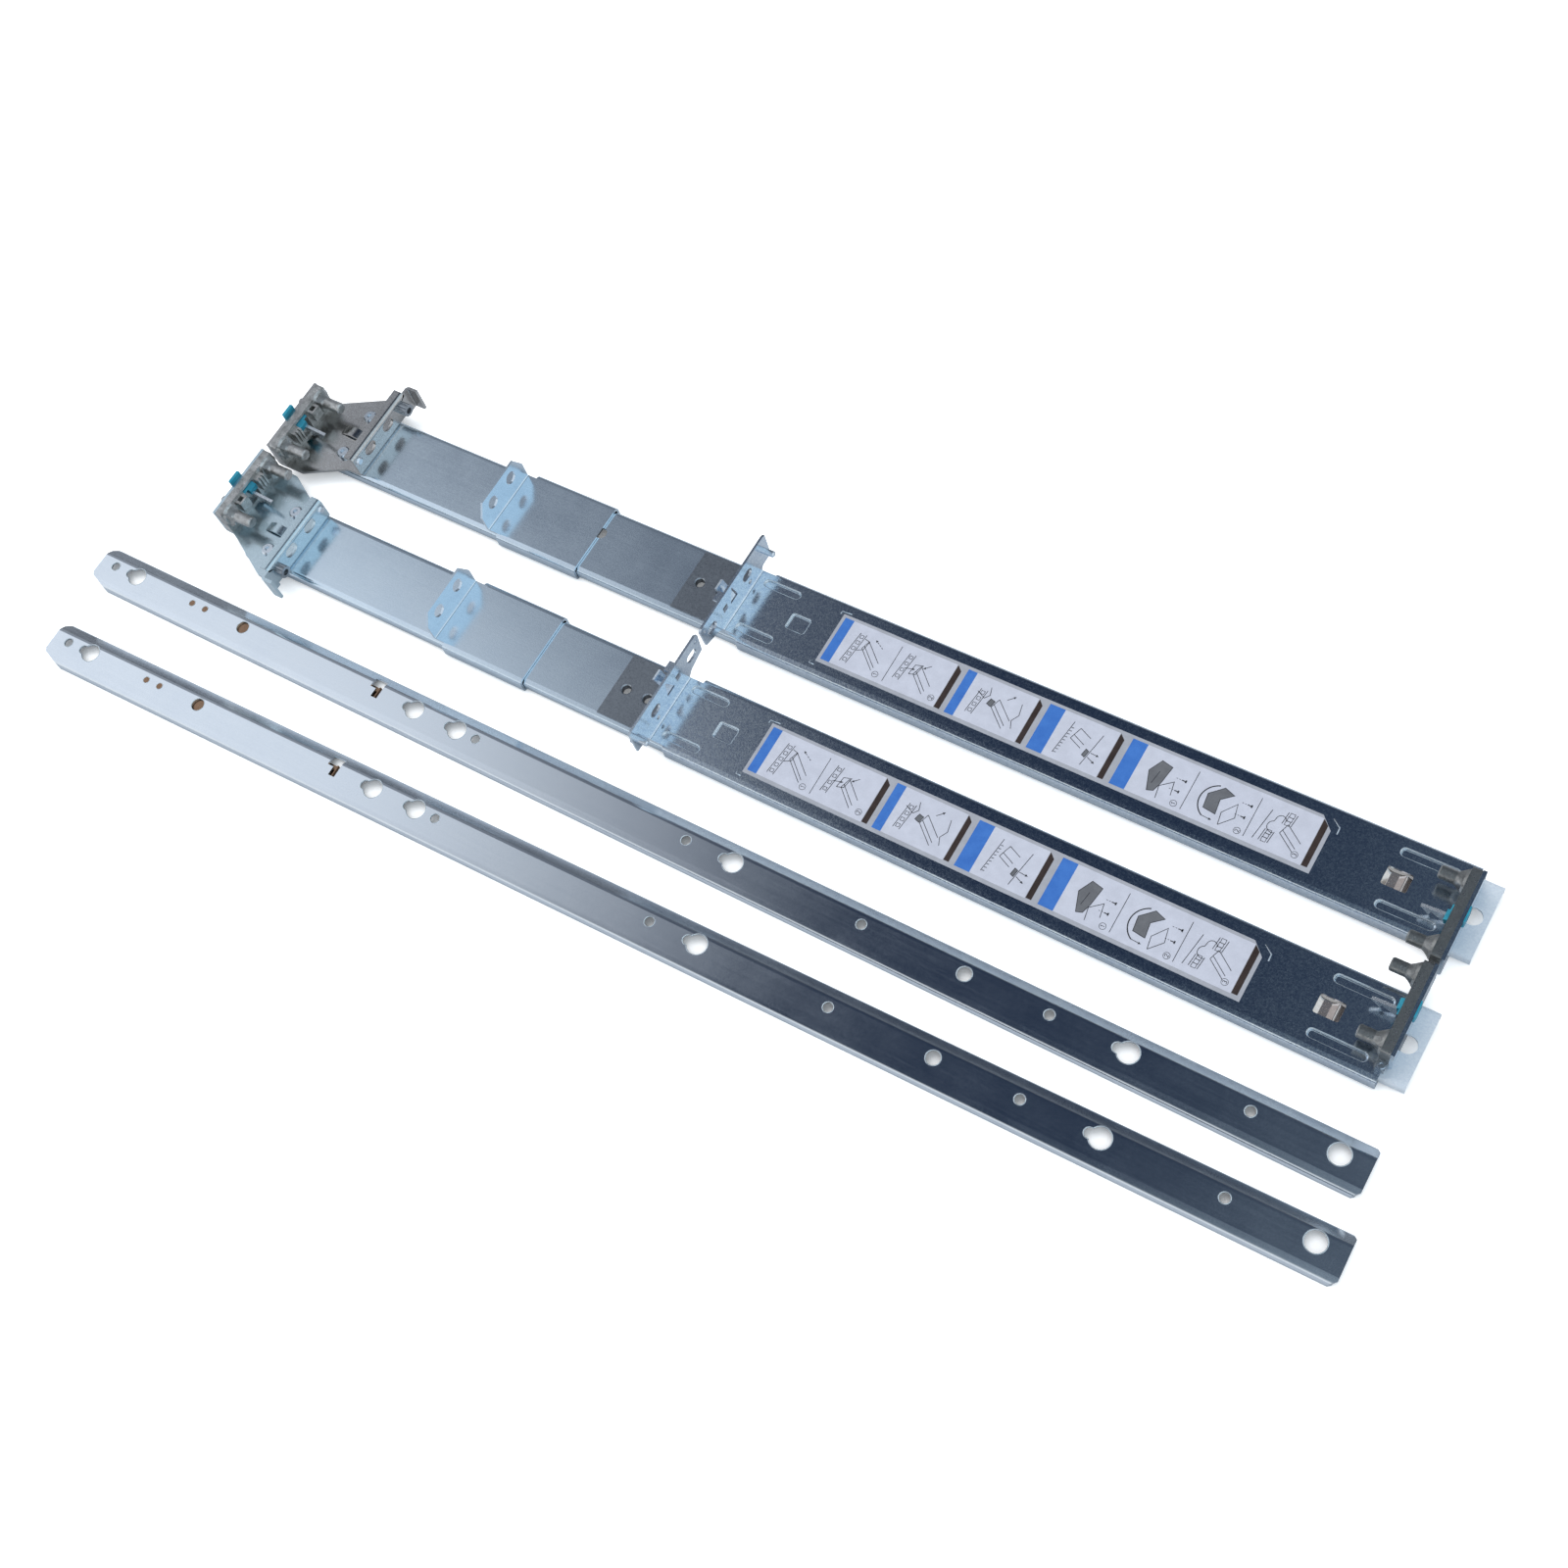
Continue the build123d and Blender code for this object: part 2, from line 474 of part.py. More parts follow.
def latch_button():
    """The moulded release button around the hook's eye."""
    half = LATCH_SLOT_HALF - BUTTON_SIDE_GAP
    outline = [(CASTING_OUTER + x, z) for x, z in BUTTON_KNOB]
    outline += [(CASTING_INNER + x, z) for x, z in BUTTON_ROOT]
    plan_length = BUTTON_FRONT - CASTING_INNER + 8
    plan = RectangleRounded(plan_length, 2 * half, BUTTON_CORNER)
    body = plate_facing_y(outline, (-half, half))
    body &= Pos(BUTTON_FRONT - plan_length / 2, 0, 0) * extrude(plan, amount=20)
    relief = BUTTON_RELIEF
    body -= between((CASTING_INNER - 3, relief["y"], PIVOT[1] - 6),
                    (CASTING_OUTER - BUTTON_SIDE_GAP, half + 1, relief["z"]))
    body -= rod_y(PIVOT_RADIUS + RUN_GAP, PIVOT[0], (-half - 1, half + 1), PIVOT[1])
    return body - latch_hook(0.0) - latch_hook(REAR_HOOK_EXTRA)


def latch_pin():
    """The pivot pin, held in the casting on both sides of the slot."""
    return rod_y(PIVOT_RADIUS, PIVOT[0], (-PIVOT_HALF_LENGTH, PIVOT_HALF_LENGTH), PIVOT[1])


def latch_spring():
    """Torsion spring round the pivot pin that pushes the button back out."""
    start = (PIVOT[0] + SPRING_RADIUS, SPRING_SIDE, PIVOT[1])
    coil = Helix(SPRING_PITCH, SPRING_PITCH * SPRING_TURNS, SPRING_RADIUS)
    coil = Pos(PIVOT[0], SPRING_SIDE, PIVOT[1]) * Rot(-90, 0, 0) * coil
    wire_section = Plane(origin=coil @ 0, z_dir=coil % 0) * Circle(SPRING_WIRE)
    spring = sweep(wire_section, path=coil)
    leg_top = BUTTON_RELIEF["z"] - SPRING_LEG_GAP
    leg = rod_z(SPRING_WIRE, start[0], SPRING_SIDE, (PIVOT[1] - 0.15, leg_top))
    end = SPRING_SIDE + SPRING_PITCH * SPRING_TURNS
    foot = rod_z(SPRING_WIRE, start[0], end, (LATCH_SLOT_FLOOR, PIVOT[1] + 0.15))
    return spring + leg + foot


def turned_to_rear(shape):
    """The same latch piece at the rear bracket, facing the other way."""
    return Pos(REAR_MIRROR_SUM, 0, 0) * mirror(shape, about=Plane.YZ)


def slide_plate():
    """Bearing plate with two formed holes, on the extension's web."""
    x, y, top = SLIDE_PLATE["x"], SLIDE_PLATE["y"], EXTENSION_TOP + SLIDE_PLATE["thickness"]
    body = between((x[0], y[0], EXTENSION_TOP), (x[1], y[1], top))
    holes = FORMED_HOLES
    for hole_x in holes["x"]:
        body += rod_z(holes["r"] + holes["rim"], hole_x, holes["y"], (EXTENSION_TOP - holes["depth"], top))
    for hole_x in holes["x"]:
        hole = rod_z(holes["r"], hole_x, holes["y"], (EXTENSION_TOP - 5, top + 1))
        body -= hole
        rim = [edge for edge in body.edges().filter_by(GeomType.CIRCLE)
               if abs(edge.center().Z - top) < 0.01 and abs(edge.arc_center.X - hole_x) < 0.01]
        body = chamfer(rim, 0.5)
    return body


def extension_channel():
    """The channel that slides inside the outer channel."""
    width = CHANNEL_WIDTH - 2 * (SHEET + SLIDE_GAP)
    body = c_section(width, EXTENSION_TOP, EXTENSION_BOTTOM, 0, EXTENSION_X)
    web = (EXTENSION_TOP - 5, EXTENSION_TOP + 1)
    for x in FORMED_HOLES["x"]:
        body -= rod_z(FORMED_HOLES["r"] + FORMED_HOLES["rim"], x, FORMED_HOLES["y"], web)
    body -= rod_z(EXTENSION_HOLE["r"], EXTENSION_HOLE["x"], EXTENSION_HOLE["y"], web)
    rim_end = EXTENSION_TOP - SHEET - THREAD_RIM_DEPTH
    for y in PLATE_SCREWS["y"]:
        body += rod_z(PLATE_SCREW_RADIUS + THREAD_RIM, PLATE_SCREWS["x"], y, (rim_end, EXTENSION_TOP))
        body -= rod_z(PLATE_SCREW_RADIUS, PLATE_SCREWS["x"], y, (rim_end - 1, EXTENSION_TOP + 1))
    return body


def sleeve():
    """The loose centre bracket that wraps the extension."""
    top = EXTENSION_TOP + SLIDE_GAP + SHEET
    middle = SLEEVE_X[0] - SHEET / 2
    level = top - SHEET / 2
    line = [(middle, SLEEVE_TAB_TOP), (middle, level), (SLEEVE_FLANGE_START + BEND, level)]
    sheet = fold_along_y(line, SHEET, TIGHT_BEND, SLEEVE_TAB_Y)
    body = sheet & plate_facing_x(SLEEVE_TAB_OUTLINE, (SLEEVE_X[0] - 4, SLEEVE_FLANGE_START + BEND))
    body += c_section(CHANNEL_WIDTH, top, FLOOR, SLEEVE_LIP, (SLEEVE_FLANGE_START, SLEEVE_X[1]))
    for y in TAB_HOLES["y"]:
        body -= rod_x(TAB_HOLES["r"], (middle - 2, middle + 2), y, TAB_HOLES["z"])
    return body


def bracket_bridge():
    """The raised strap that is lanced out of the rear bracket."""
    x, top = BRIDGE["x"], EXTENSION_TOP + BRACKET_SHEET
    middle = sum(x) / 2
    inset = 1.0
    arc = ThreePointArc((x[0] - inset, top - SHEET), (middle, top + BRIDGE["rise"] - SHEET / 2),
                        (x[1] + inset, top - SHEET))
    strap = Plane.XZ * trace(arc, line_width=SHEET)
    y = BRIDGE["y"]
    strap = Pos(0, y[1] - 0.3, 0) * extrude(strap, amount=y[1] - y[0] - 0.6)
    base = between((x[0] - 5, y[0], EXTENSION_TOP), (x[1] + 5, y[1], top + 6))
    return strap & base


def bracket_ear():
    """The ear at the end of the front upstand, turned forward into a hook."""
    ear = REAR_EAR
    middle = REAR_FLANGE_X - BRACKET_SHEET / 2
    start = REAR_FLANGE_Y[1] - 1
    side = ear["y"] - BRACKET_SHEET / 2
    line = FilletPolyline((middle, start), (middle, side), (middle + ear["forward"], side), radius=1.4)
    strip = extrude(trace(line, line_width=BRACKET_SHEET), amount=ear["z"][1] - ear["z"][0])
    strip = Pos(0, 0, ear["z"][0]) * strip
    corner = [(REAR_FLANGE_X - 4, ear["z"][0] - 1), (REAR_FLANGE_X + 1.5, ear["z"][0] - 1),
              (REAR_FLANGE_X - 4, ear["z"][0] + 5.0)]
    return strip - plate_facing_y(corner, (start - 1, ear["y"] + 1))


def rear_bracket():
    """One sheet: rear face plate, base and front upstand with lip, slots and ear."""
    half = BRACKET_SHEET / 2
    level = EXTENSION_TOP + half
    rear = REAR_BACK + half
    front = REAR_FLANGE_X - half
    lip = REAR_FLANGE_TOP - half
    line = [(rear, BRACKET_TOP), (rear, level), (front, level), (front, lip), (front - REAR_LIP, lip)]
    sheet = fold_along_y(line, BRACKET_SHEET, TIGHT_BEND, (-BRACKET_HALF, REAR_FLANGE_Y[1]))
    body = sheet & plate_facing_z(REAR_PLAN, (-6, REAR_FLANGE_TOP + 1))
    slots = REAR_SLOTS
    through = (REAR_FLANGE_X - 3, REAR_FLANGE_X + 1)
    for y in slots["y"]:
        body -= slot_facing_x(slots, y, through)
    body += bracket_ear()
    for radius, place in ((NUT_BORE, NUT_AT), (STUD_SHANK[0], STUD_AT)):
        body -= rod_x(radius, through, *place)
    hole = (EXTENSION_TOP - 1, EXTENSION_TOP + 3)
    for y in PLATE_SCREWS["y"]:
        body -= rod_z(PLATE_SCREW_RADIUS + RUN_GAP, PLATE_SCREWS["x"], y, hole)
    body -= between((BRIDGE["x"][0], BRIDGE["y"][0], hole[0]), (BRIDGE["x"][1], BRIDGE["y"][1], hole[1]))
    body += bracket_bridge()
    body -= rod_x(OUTER_LUG["r"], (rear - 2, rear + 2), OUTER_LUG["y"], OUTER_LUG["z"])
    notch = (rear - 2, -LATCH_SLOT_HALF, PLATE_NOTCH_FLOOR)
    return body - between(notch, (rear + 2, LATCH_SLOT_HALF, LATCH_BRIDGE))


def rear_lugs():
    """Square-hole lug and ribbed block beside the latch, drawn on the front casting's face."""
    lug, block, face = SQUARE_LUG, RIB_BLOCK, CASTING_INNER
    square = between((face - lug["x"], lug["y"][0], lug["z"][0]), (face, lug["y"][1], lug["z"][1]))
    at = (face - lug["x"] / 2, sum(lug["y"]) / 2, sum(lug["z"]) / 2)
    square -= Pos(*at) * Box(lug["hole"] - 0.4, lug["hole"], lug["z"][1])
    ribs = between((face - block["x"], block["y"][0], block["z"][0]), (face, block["y"][1], block["z"][1]))
    for step in (0.3, 0.7):
        y = block["y"][0] + step * (block["y"][1] - block["y"][0])
        groove = block["groove"]
        low = (face - block["x"] - 1, y - groove / 2, block["z"][0] - 1)
        ribs -= between(low, (face - block["x"] + 1.4, y + groove / 2, block["z"][1] + 1))
    return square + ribs


def pin_shoulder(side):
    """The sloped shoulder between the casting and a rear pin."""
    y = side * PIN_SPACING / 2
    drop = PIN_SHOULDER["drop"]
    wide = Plane(origin=(CASTING_INNER, y, PIN_HEIGHT - drop[0]), z_dir=(-1, 0, 0))
    narrow = Plane(origin=(CASTING_INNER - PIN_SHOULDER["length"], y, PIN_HEIGHT - drop[1]), z_dir=(-1, 0, 0))
    return loft([wide * Rectangle(*PIN_SHOULDER["wide"]), narrow * Rectangle(*PIN_SHOULDER["narrow"])])


def rear_casting():
    """The rear die-cast body, resting on the rear bracket's base."""
    block = casting_block(REAR_PIN_LENGTH, EXTENSION_TOP + BRACKET_SHEET) + rear_lugs()
    for side in (-1, 1):
        block += pin_shoulder(side)
    lug = OUTER_LUG
    body = turned_to_rear(block)
    return body + rod_x(lug["r"], (lug["x"], REAR_BACK + BRACKET_SHEET), lug["y"], lug["z"])


def plate_screws():
    """Two pan-head screws from the rear bracket into the extension."""
    top = EXTENSION_TOP + BRACKET_SHEET
    radius, height = PLATE_SCREW_HEAD
    screws = []
    for y in PLATE_SCREWS["y"]:
        head = rod_z(radius, PLATE_SCREWS["x"], y, (top, top + height))
        head = chamfer(head.edges().sort_by(Axis.Z)[-1], 0.7)
        shank = rod_z(PLATE_SCREW_RADIUS, PLATE_SCREWS["x"], y, (top - PLATE_SCREW_LENGTH, top))
        socket = extrude(RegularPolygon(SOCKET_RADIUS["plate"], 6), amount=2)
        star = Pos(PLATE_SCREWS["x"], y, top + height - SOCKET_DEPTH) * socket
        screws.append(head + shank - star)
    return screws


def captive_nut():
    """Knurled nut pressed into the rear bracket's upstand."""
    face = Plane(origin=(REAR_FLANGE_X, *NUT_AT), z_dir=(1, 0, 0))
    outline = Circle(NUT_RADIUS)
    for cut in PolarLocations(NUT_RADIUS, KNURL_COUNT):
        outline -= cut * RegularPolygon(KNURL_DEPTH, 4)
    body = extrude(face * outline, amount=NUT_LENGTH)
    return body - rod_x(NUT_BORE, (REAR_FLANGE_X - 1, REAR_FLANGE_X + NUT_LENGTH + 1), *NUT_AT)


def tab_screw():
    """Screw through the centre tab's far ear."""
    radius, height = TAB_SCREW_HEAD
    back = -SHEET
    head = rod_x(radius, (back - height, back), *TAB_SCREW_AT)
    head = chamfer(head.edges().sort_by(Axis.X)[0], 0.7)
    shank = rod_x(TAB_SCREW_SHANK[0], (back, TAB_SCREW_SHANK[1]), *TAB_SCREW_AT)
    shank = chamfer(shank.edges().sort_by(Axis.X)[-1], 0.6)
    face = Plane(origin=(back - height, *TAB_SCREW_AT), z_dir=(1, 0, 0))
    socket = face * RegularPolygon(SOCKET_RADIUS["tab"], 6)
    return head + shank - extrude(socket, amount=SOCKET_DEPTH)


def locating_stud():
    """Domed stud riveted in the rear bracket's upstand."""
    radius, height = STUD_HEAD
    head = rod_x(radius, (REAR_FLANGE_X, REAR_FLANGE_X + height), *STUD_AT)
    head = chamfer(head.edges().sort_by(Axis.X)[-1], 0.8)
    return head + rod_x(STUD_SHANK[0], (REAR_FLANGE_X - STUD_SHANK[1], REAR_FLANGE_X), *STUD_AT)


def inner_rail():
    """The shallow rail that screws to the equipment, with holes and keyholes."""
    points = [(y, max(z - SHEET / 2, 0)) for y, z in INNER_LINE]
    body = fold_along_x(points, SHEET, INNER_BENDS, INNER_X)
    down = (2, 8)
    for radius, places in ((SMALL_HOLE, SMALL_HOLES_X), (MEDIUM_HOLE, MEDIUM_HOLES_X),
                           (BIG_HOLE, (BIG_HOLE_X,)), (RIVET_RADIUS, RIVETS_X)):
        for x in places:
            body -= rod_z(radius, x, 0, down)
    for x in KEYHOLES_X:
        half = KEYHOLE_SLOT / 2
        body -= rod_z(KEYHOLE_RADIUS, x, 0, down)
        body -= between((x - KEYHOLE_REACH + half, -half, down[0]), (x, half, down[1]))
        body -= rod_z(half, x - KEYHOLE_REACH + half, 0, down)
    x, y = J_WINDOW["x"], J_WINDOW["y"]
    body -= between((x[0], J_WINDOW["bar_y"], down[0]), (x[1], y[1], down[1]))
    body -= between((J_WINDOW["bar_x"], y[0], down[0]), (x[1], y[1], down[1]))
    rear, front = INNER_X
    corners = ((rear, REAR_NOSE), (rear, REAR_CORNER), (front, FRONT_NOSE_NEAR), (front, FRONT_NOSE_FAR))
    for end, outline in corners:
        body -= end_cut(end, outline)
    return body


def end_cut(end, outline):
    """What is cut away at one corner of an inner rail, drawn from the rail's end."""
    return plate_facing_z([(end + x, y) for x, y in outline], (-1, 9))


def lock_spring():
    """Long leaf under the web whose barb shows in the J window."""
    spring = LOCK_SPRING
    top = INNER_LINE[2][1] - SHEET / 2 - SHEET / 2
    level = top - spring["sheet"] / 2
    x, drop = spring["x"], spring["drop"]
    barb = spring["barb"]
    line = [(x[0], level), (x[0] + spring["root"], level), (x[1] - spring["tip"], level - drop),
            (x[1] - barb, level - drop), (x[1] - barb, level - drop + barb)]
    half = spring["half"]
    leaf = fold_along_y(line, spring["sheet"], 0.7, (-half, half))
    for rivet_x in RIVETS_X:
        leaf -= rod_z(RIVET_RADIUS, rivet_x, 0, (level - 2, level + 2))
    return leaf


def lock_rivets():
    """Two rivets that hold the lock spring under the web."""
    web = INNER_LINE[2][1] - SHEET / 2
    low = web - SHEET / 2 - LOCK_SPRING["sheet"]
    radius, height = RIVET_HEAD
    rivets = []
    for x in RIVETS_X:
        shank = rod_z(RIVET_RADIUS, x, 0, (low, web + SHEET / 2))
        rivets.append(shank + rod_z(radius, x, 0, (low - height, low)))
    return rivets


def outer_rail_nodes():
    """Every piece of one outer rail, in the rail's own frame."""
    nodes = {
        "outer_channel": outer_channel(),
        "instruction_label": instruction_label(),
        "window_leaf_spring": window_leaf_spring(),
        "front_casting": front_casting(),
        "front_bracket_plate": front_bracket_plate(),
        "front_track_lip": front_track_lip(),
        "front_clamp_screw": front_clamp_screw(),
        "centre_tab_screw": tab_screw(),
        "slide_plate": slide_plate(),
        "extension_channel": extension_channel(),
        "sleeve": sleeve(),
        "rear_bracket": rear_bracket(),
        "rear_casting": rear_casting(),
        "rear_plate_screws": plate_screws(),
        "rear_captive_nut": captive_nut(),
        "rear_locating_stud": locating_stud(),
    }
    latch = {"latch_button": latch_button(), "latch_pin": latch_pin(), "latch_spring": latch_spring()}
    for name, shape in latch.items():
        nodes["front_" + name] = shape
        nodes["rear_" + name] = turned_to_rear(shape)
    nodes["front_latch_hook"] = latch_hook(0.0)
    nodes["rear_latch_hook"] = turned_to_rear(latch_hook(REAR_HOOK_EXTRA))
    return nodes


def solids_of(shape):
    """A node's shape or shapes as a list."""
    return shape if isinstance(shape, list) else [shape]


def save(name, shapes):
    """Write one node, moved from the drawing frame to the shared frame."""
    placed = [Pos(*ORIGIN) * shape for shape in shapes]
    body = placed[0] if len(placed) == 1 else Compound(children=placed)
    export_step(body, f"parts/{name}.step")


def save_outer_rails():
    """The left rail as drawn, the right rail mirrored beside it."""
    for name, node in outer_rail_nodes().items():
        save("left_" + name, solids_of(node))
        forward = RIGHT_SLEEVE_FORWARD if name == "sleeve" else 0.0
        place = Pos(RIGHT_RAIL[0] + forward, RIGHT_RAIL[1], 0)
        if name == "instruction_label":
            node = turned_label(node)
        save("right_" + name, [place * mirror(shape, about=Plane.XZ) for shape in solids_of(node)])


def save_inner_rails():
    """Both inner rails, each laid at its own small angle."""
    nodes = {"": inner_rail(), "_lock_spring": lock_spring(), "_lock_rivets": lock_rivets()}
    for rail, (x, y, turn) in INNER_PLACES.items():
        place = Pos(x, y, FLOOR) * Rot(0, 0, turn)
        for suffix, node in nodes.items():
            save(rail + suffix, [place * shape for shape in solids_of(node)])


os.makedirs("parts", exist_ok=True)
save_outer_rails()
save_inner_rails()
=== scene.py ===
"""Looks of the static server rail kit: finishes, label print, struck marks, studio and camera."""

import logging
import math
from dataclasses import dataclass, field
from enum import Enum

import bpy
import numpy as np
from mathutils import Matrix

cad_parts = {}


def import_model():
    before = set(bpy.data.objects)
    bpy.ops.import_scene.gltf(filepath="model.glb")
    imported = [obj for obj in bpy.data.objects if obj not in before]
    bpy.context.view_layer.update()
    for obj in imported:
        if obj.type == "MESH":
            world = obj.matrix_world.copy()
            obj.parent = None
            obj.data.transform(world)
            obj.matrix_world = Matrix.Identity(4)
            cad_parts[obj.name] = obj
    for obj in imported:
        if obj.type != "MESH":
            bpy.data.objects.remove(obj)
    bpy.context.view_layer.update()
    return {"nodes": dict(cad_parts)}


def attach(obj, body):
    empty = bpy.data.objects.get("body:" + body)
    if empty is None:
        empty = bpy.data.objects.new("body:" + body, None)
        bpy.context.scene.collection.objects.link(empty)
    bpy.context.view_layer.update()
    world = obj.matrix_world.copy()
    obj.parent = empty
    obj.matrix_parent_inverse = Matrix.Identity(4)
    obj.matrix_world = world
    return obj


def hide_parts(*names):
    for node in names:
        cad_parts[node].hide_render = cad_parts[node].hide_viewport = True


LOG = logging.getLogger("rail_kit")
Pair = tuple[float, float]
Colour = tuple[float, float, float]
Place = tuple[float, float, float]
Node = bpy.types.Node
Socket = bpy.types.NodeSocket
MM = 0.001
# Places of the sockets of a Mix node that mixes colours.
MIX_FACTOR, MIX_LOW, MIX_HIGH, MIX_RESULT = 0, 6, 7, 2
# How far each layer of print lies over the one under it, in millimetres.
LAYER = 0.02
# The least cosine of half a bend that a drawn line's corner is drawn out by, and a length that
# stands for none.
SHARPEST, TINY = 0.5, 1e-9
INNER_PLACES = {"inner_rail_a": (-21.96, -44.25, 0.24), "inner_rail_b": (-15.66, -86.15, 1.21)}


class Hand(Enum):
    """Which of the two outer rails a piece belongs to."""

    LEFT = "left"
    RIGHT = "right"


@dataclass(frozen=True)
class RailFrame:
    """The left rail is moved by origin. The right rail is the left one mirrored in y, with its
    own offset: (x, y, z) -> (x + dx, dy - y, z) before the origin is added.
    """

    hand: Hand
    origin: tuple[float, float, float] = (-21.96, 64.25, 9.7)
    right_offset: tuple[float, float] = (-1.0, -45.7)
    sticker_middle: float = 9.4

    def place(self, points: np.ndarray) -> np.ndarray:
        """Place structural points.

        Args:
            points: Rows of x, y, z in the rail's own millimetres.
        """
        moved = np.array(points, dtype=float)
        if self.hand is Hand.RIGHT:
            moved = moved * (1.0, -1.0, 1.0) + (*self.right_offset, 0.0)
        return (moved + self.origin) * MM

    def local(self, points: np.ndarray) -> np.ndarray:
        moved = points / MM - self.origin
        if self.hand is Hand.RIGHT:
            moved = (moved - (*self.right_offset, 0.0)) * (1.0, -1.0, 1.0)
        return moved

    def placed(self, data: "MeshData") -> "MeshData":
        """Place structural mesh data, with its faces turned over where the rail is mirrored."""
        faces = [face[::-1] for face in data.faces] if self.hand is Hand.RIGHT else data.faces
        return MeshData(self.place(data.points), faces)

    def place_print(self, points: np.ndarray) -> np.ndarray:
        """Place points of the sticker, which is turned the same way on both rails.

        Args:
            points: Rows of x, y, z in the left rail's millimetres.
        """
        moved = np.array(points, dtype=float)
        if self.hand is Hand.RIGHT:
            dx, dy = self.right_offset
            moved = moved + (dx, dy - 2.0 * self.sticker_middle, 0.0)
        return (moved + self.origin) * MM


class Graph:
    """A node tree, with short ways to add nodes and to join them."""

    def __init__(self, tree: bpy.types.NodeTree) -> None:
        """Keep the tree and start it empty."""
        self.tree = tree
        tree.nodes.clear()

    def add(self, kind: str, **settings: object) -> Node:
        """Add a node.

        Args:
            kind: Blender's type name of the node.
            **settings: Properties to set on it.

        Returns:
            The new node.
        """
        node = self.tree.nodes.new(kind)
        for name, value in settings.items():
            setattr(node, name, value)
        return node

    def join(self, source: Socket | float | Colour, target: Socket) -> None:
        """Join an output to an input, or set the input to a number or a linear colour."""
        if isinstance(source, float):
            target.default_value = source
        elif isinstance(source, tuple):
            target.default_value = (*source, 1.0)
        else:
            self.tree.links.new(source, target)

    def noise(self, vector: Socket, scale: Socket | float, detail: float, rough: float) -> Socket:
        """Add a noise texture on a vector.

        Args:
            vector: The coordinates that it reads.
            scale: Features per metre, about.
            detail: Octaves.
            rough: How much the fine octaves count.

        Returns:
            The noise's socket.
        """
        node = self.add("ShaderNodeTexNoise")
        self.join(vector, node.inputs["Vector"])
        self.join(scale, node.inputs["Scale"])
        self.join(detail, node.inputs["Detail"])
        self.join(rough, node.inputs["Roughness"])
        return node.outputs["Fac"]

    def remap(self, value: Socket, source: Pair, target: Pair = (0.0, 1.0)) -> Socket:
        """Map a value from one range to another, held at both ends.

        Args:
            value: The value to map.
            source: Its range.
            target: The range it is mapped to.

        Returns:
            The mapped value's socket.
        """
        node = self.add("ShaderNodeMapRange")
        self.join(value, node.inputs["Value"])
        for name, end in zip(("From Min", "From Max", "To Min", "To Max"), (*source, *target)):
            self.join(end, node.inputs[name])
        return node.outputs["Result"]

    def blend(self, factor: Socket, low: Socket | Colour, high: Socket | Colour) -> Socket:
        """Mix two colours by a factor.

        Args:
            factor: 0 gives low and 1 gives high.
            low: A linear colour, or one that is worked out.
            high: The other colour, of either kind.

        Returns:
            The mixed colour's socket.
        """
        node = self.add("ShaderNodeMix", data_type="RGBA")
        for source, place in ((factor, MIX_FACTOR), (low, MIX_LOW), (high, MIX_HIGH)):
            self.join(source, node.inputs[place])
        return node.outputs[MIX_RESULT]

    def maths(self, operation: str, first: Socket, second: Socket | float) -> Socket:
        """Join one value with another or with a number.

        Args:
            operation: Blender's name of the operation.
            first: The first value.
            second: The second value, or a number.

        Returns:
            The result's socket.
        """
        node = self.add("ShaderNodeMath", operation=operation)
        self.join(first, node.inputs[0])
        self.join(second, node.inputs[1])
        return node.outputs[0]

    def weighted(self, *parts: tuple[Socket, float]) -> Socket:
        """Add values up, each times its share.

        Args:
            *parts: Each value with its share.

        Returns:
            The sum's socket.
        """
        total, *others = [self.maths("MULTIPLY", value, share) for value, share in parts]
        for other in others:
            total = self.maths("ADD", total, other)
        return total


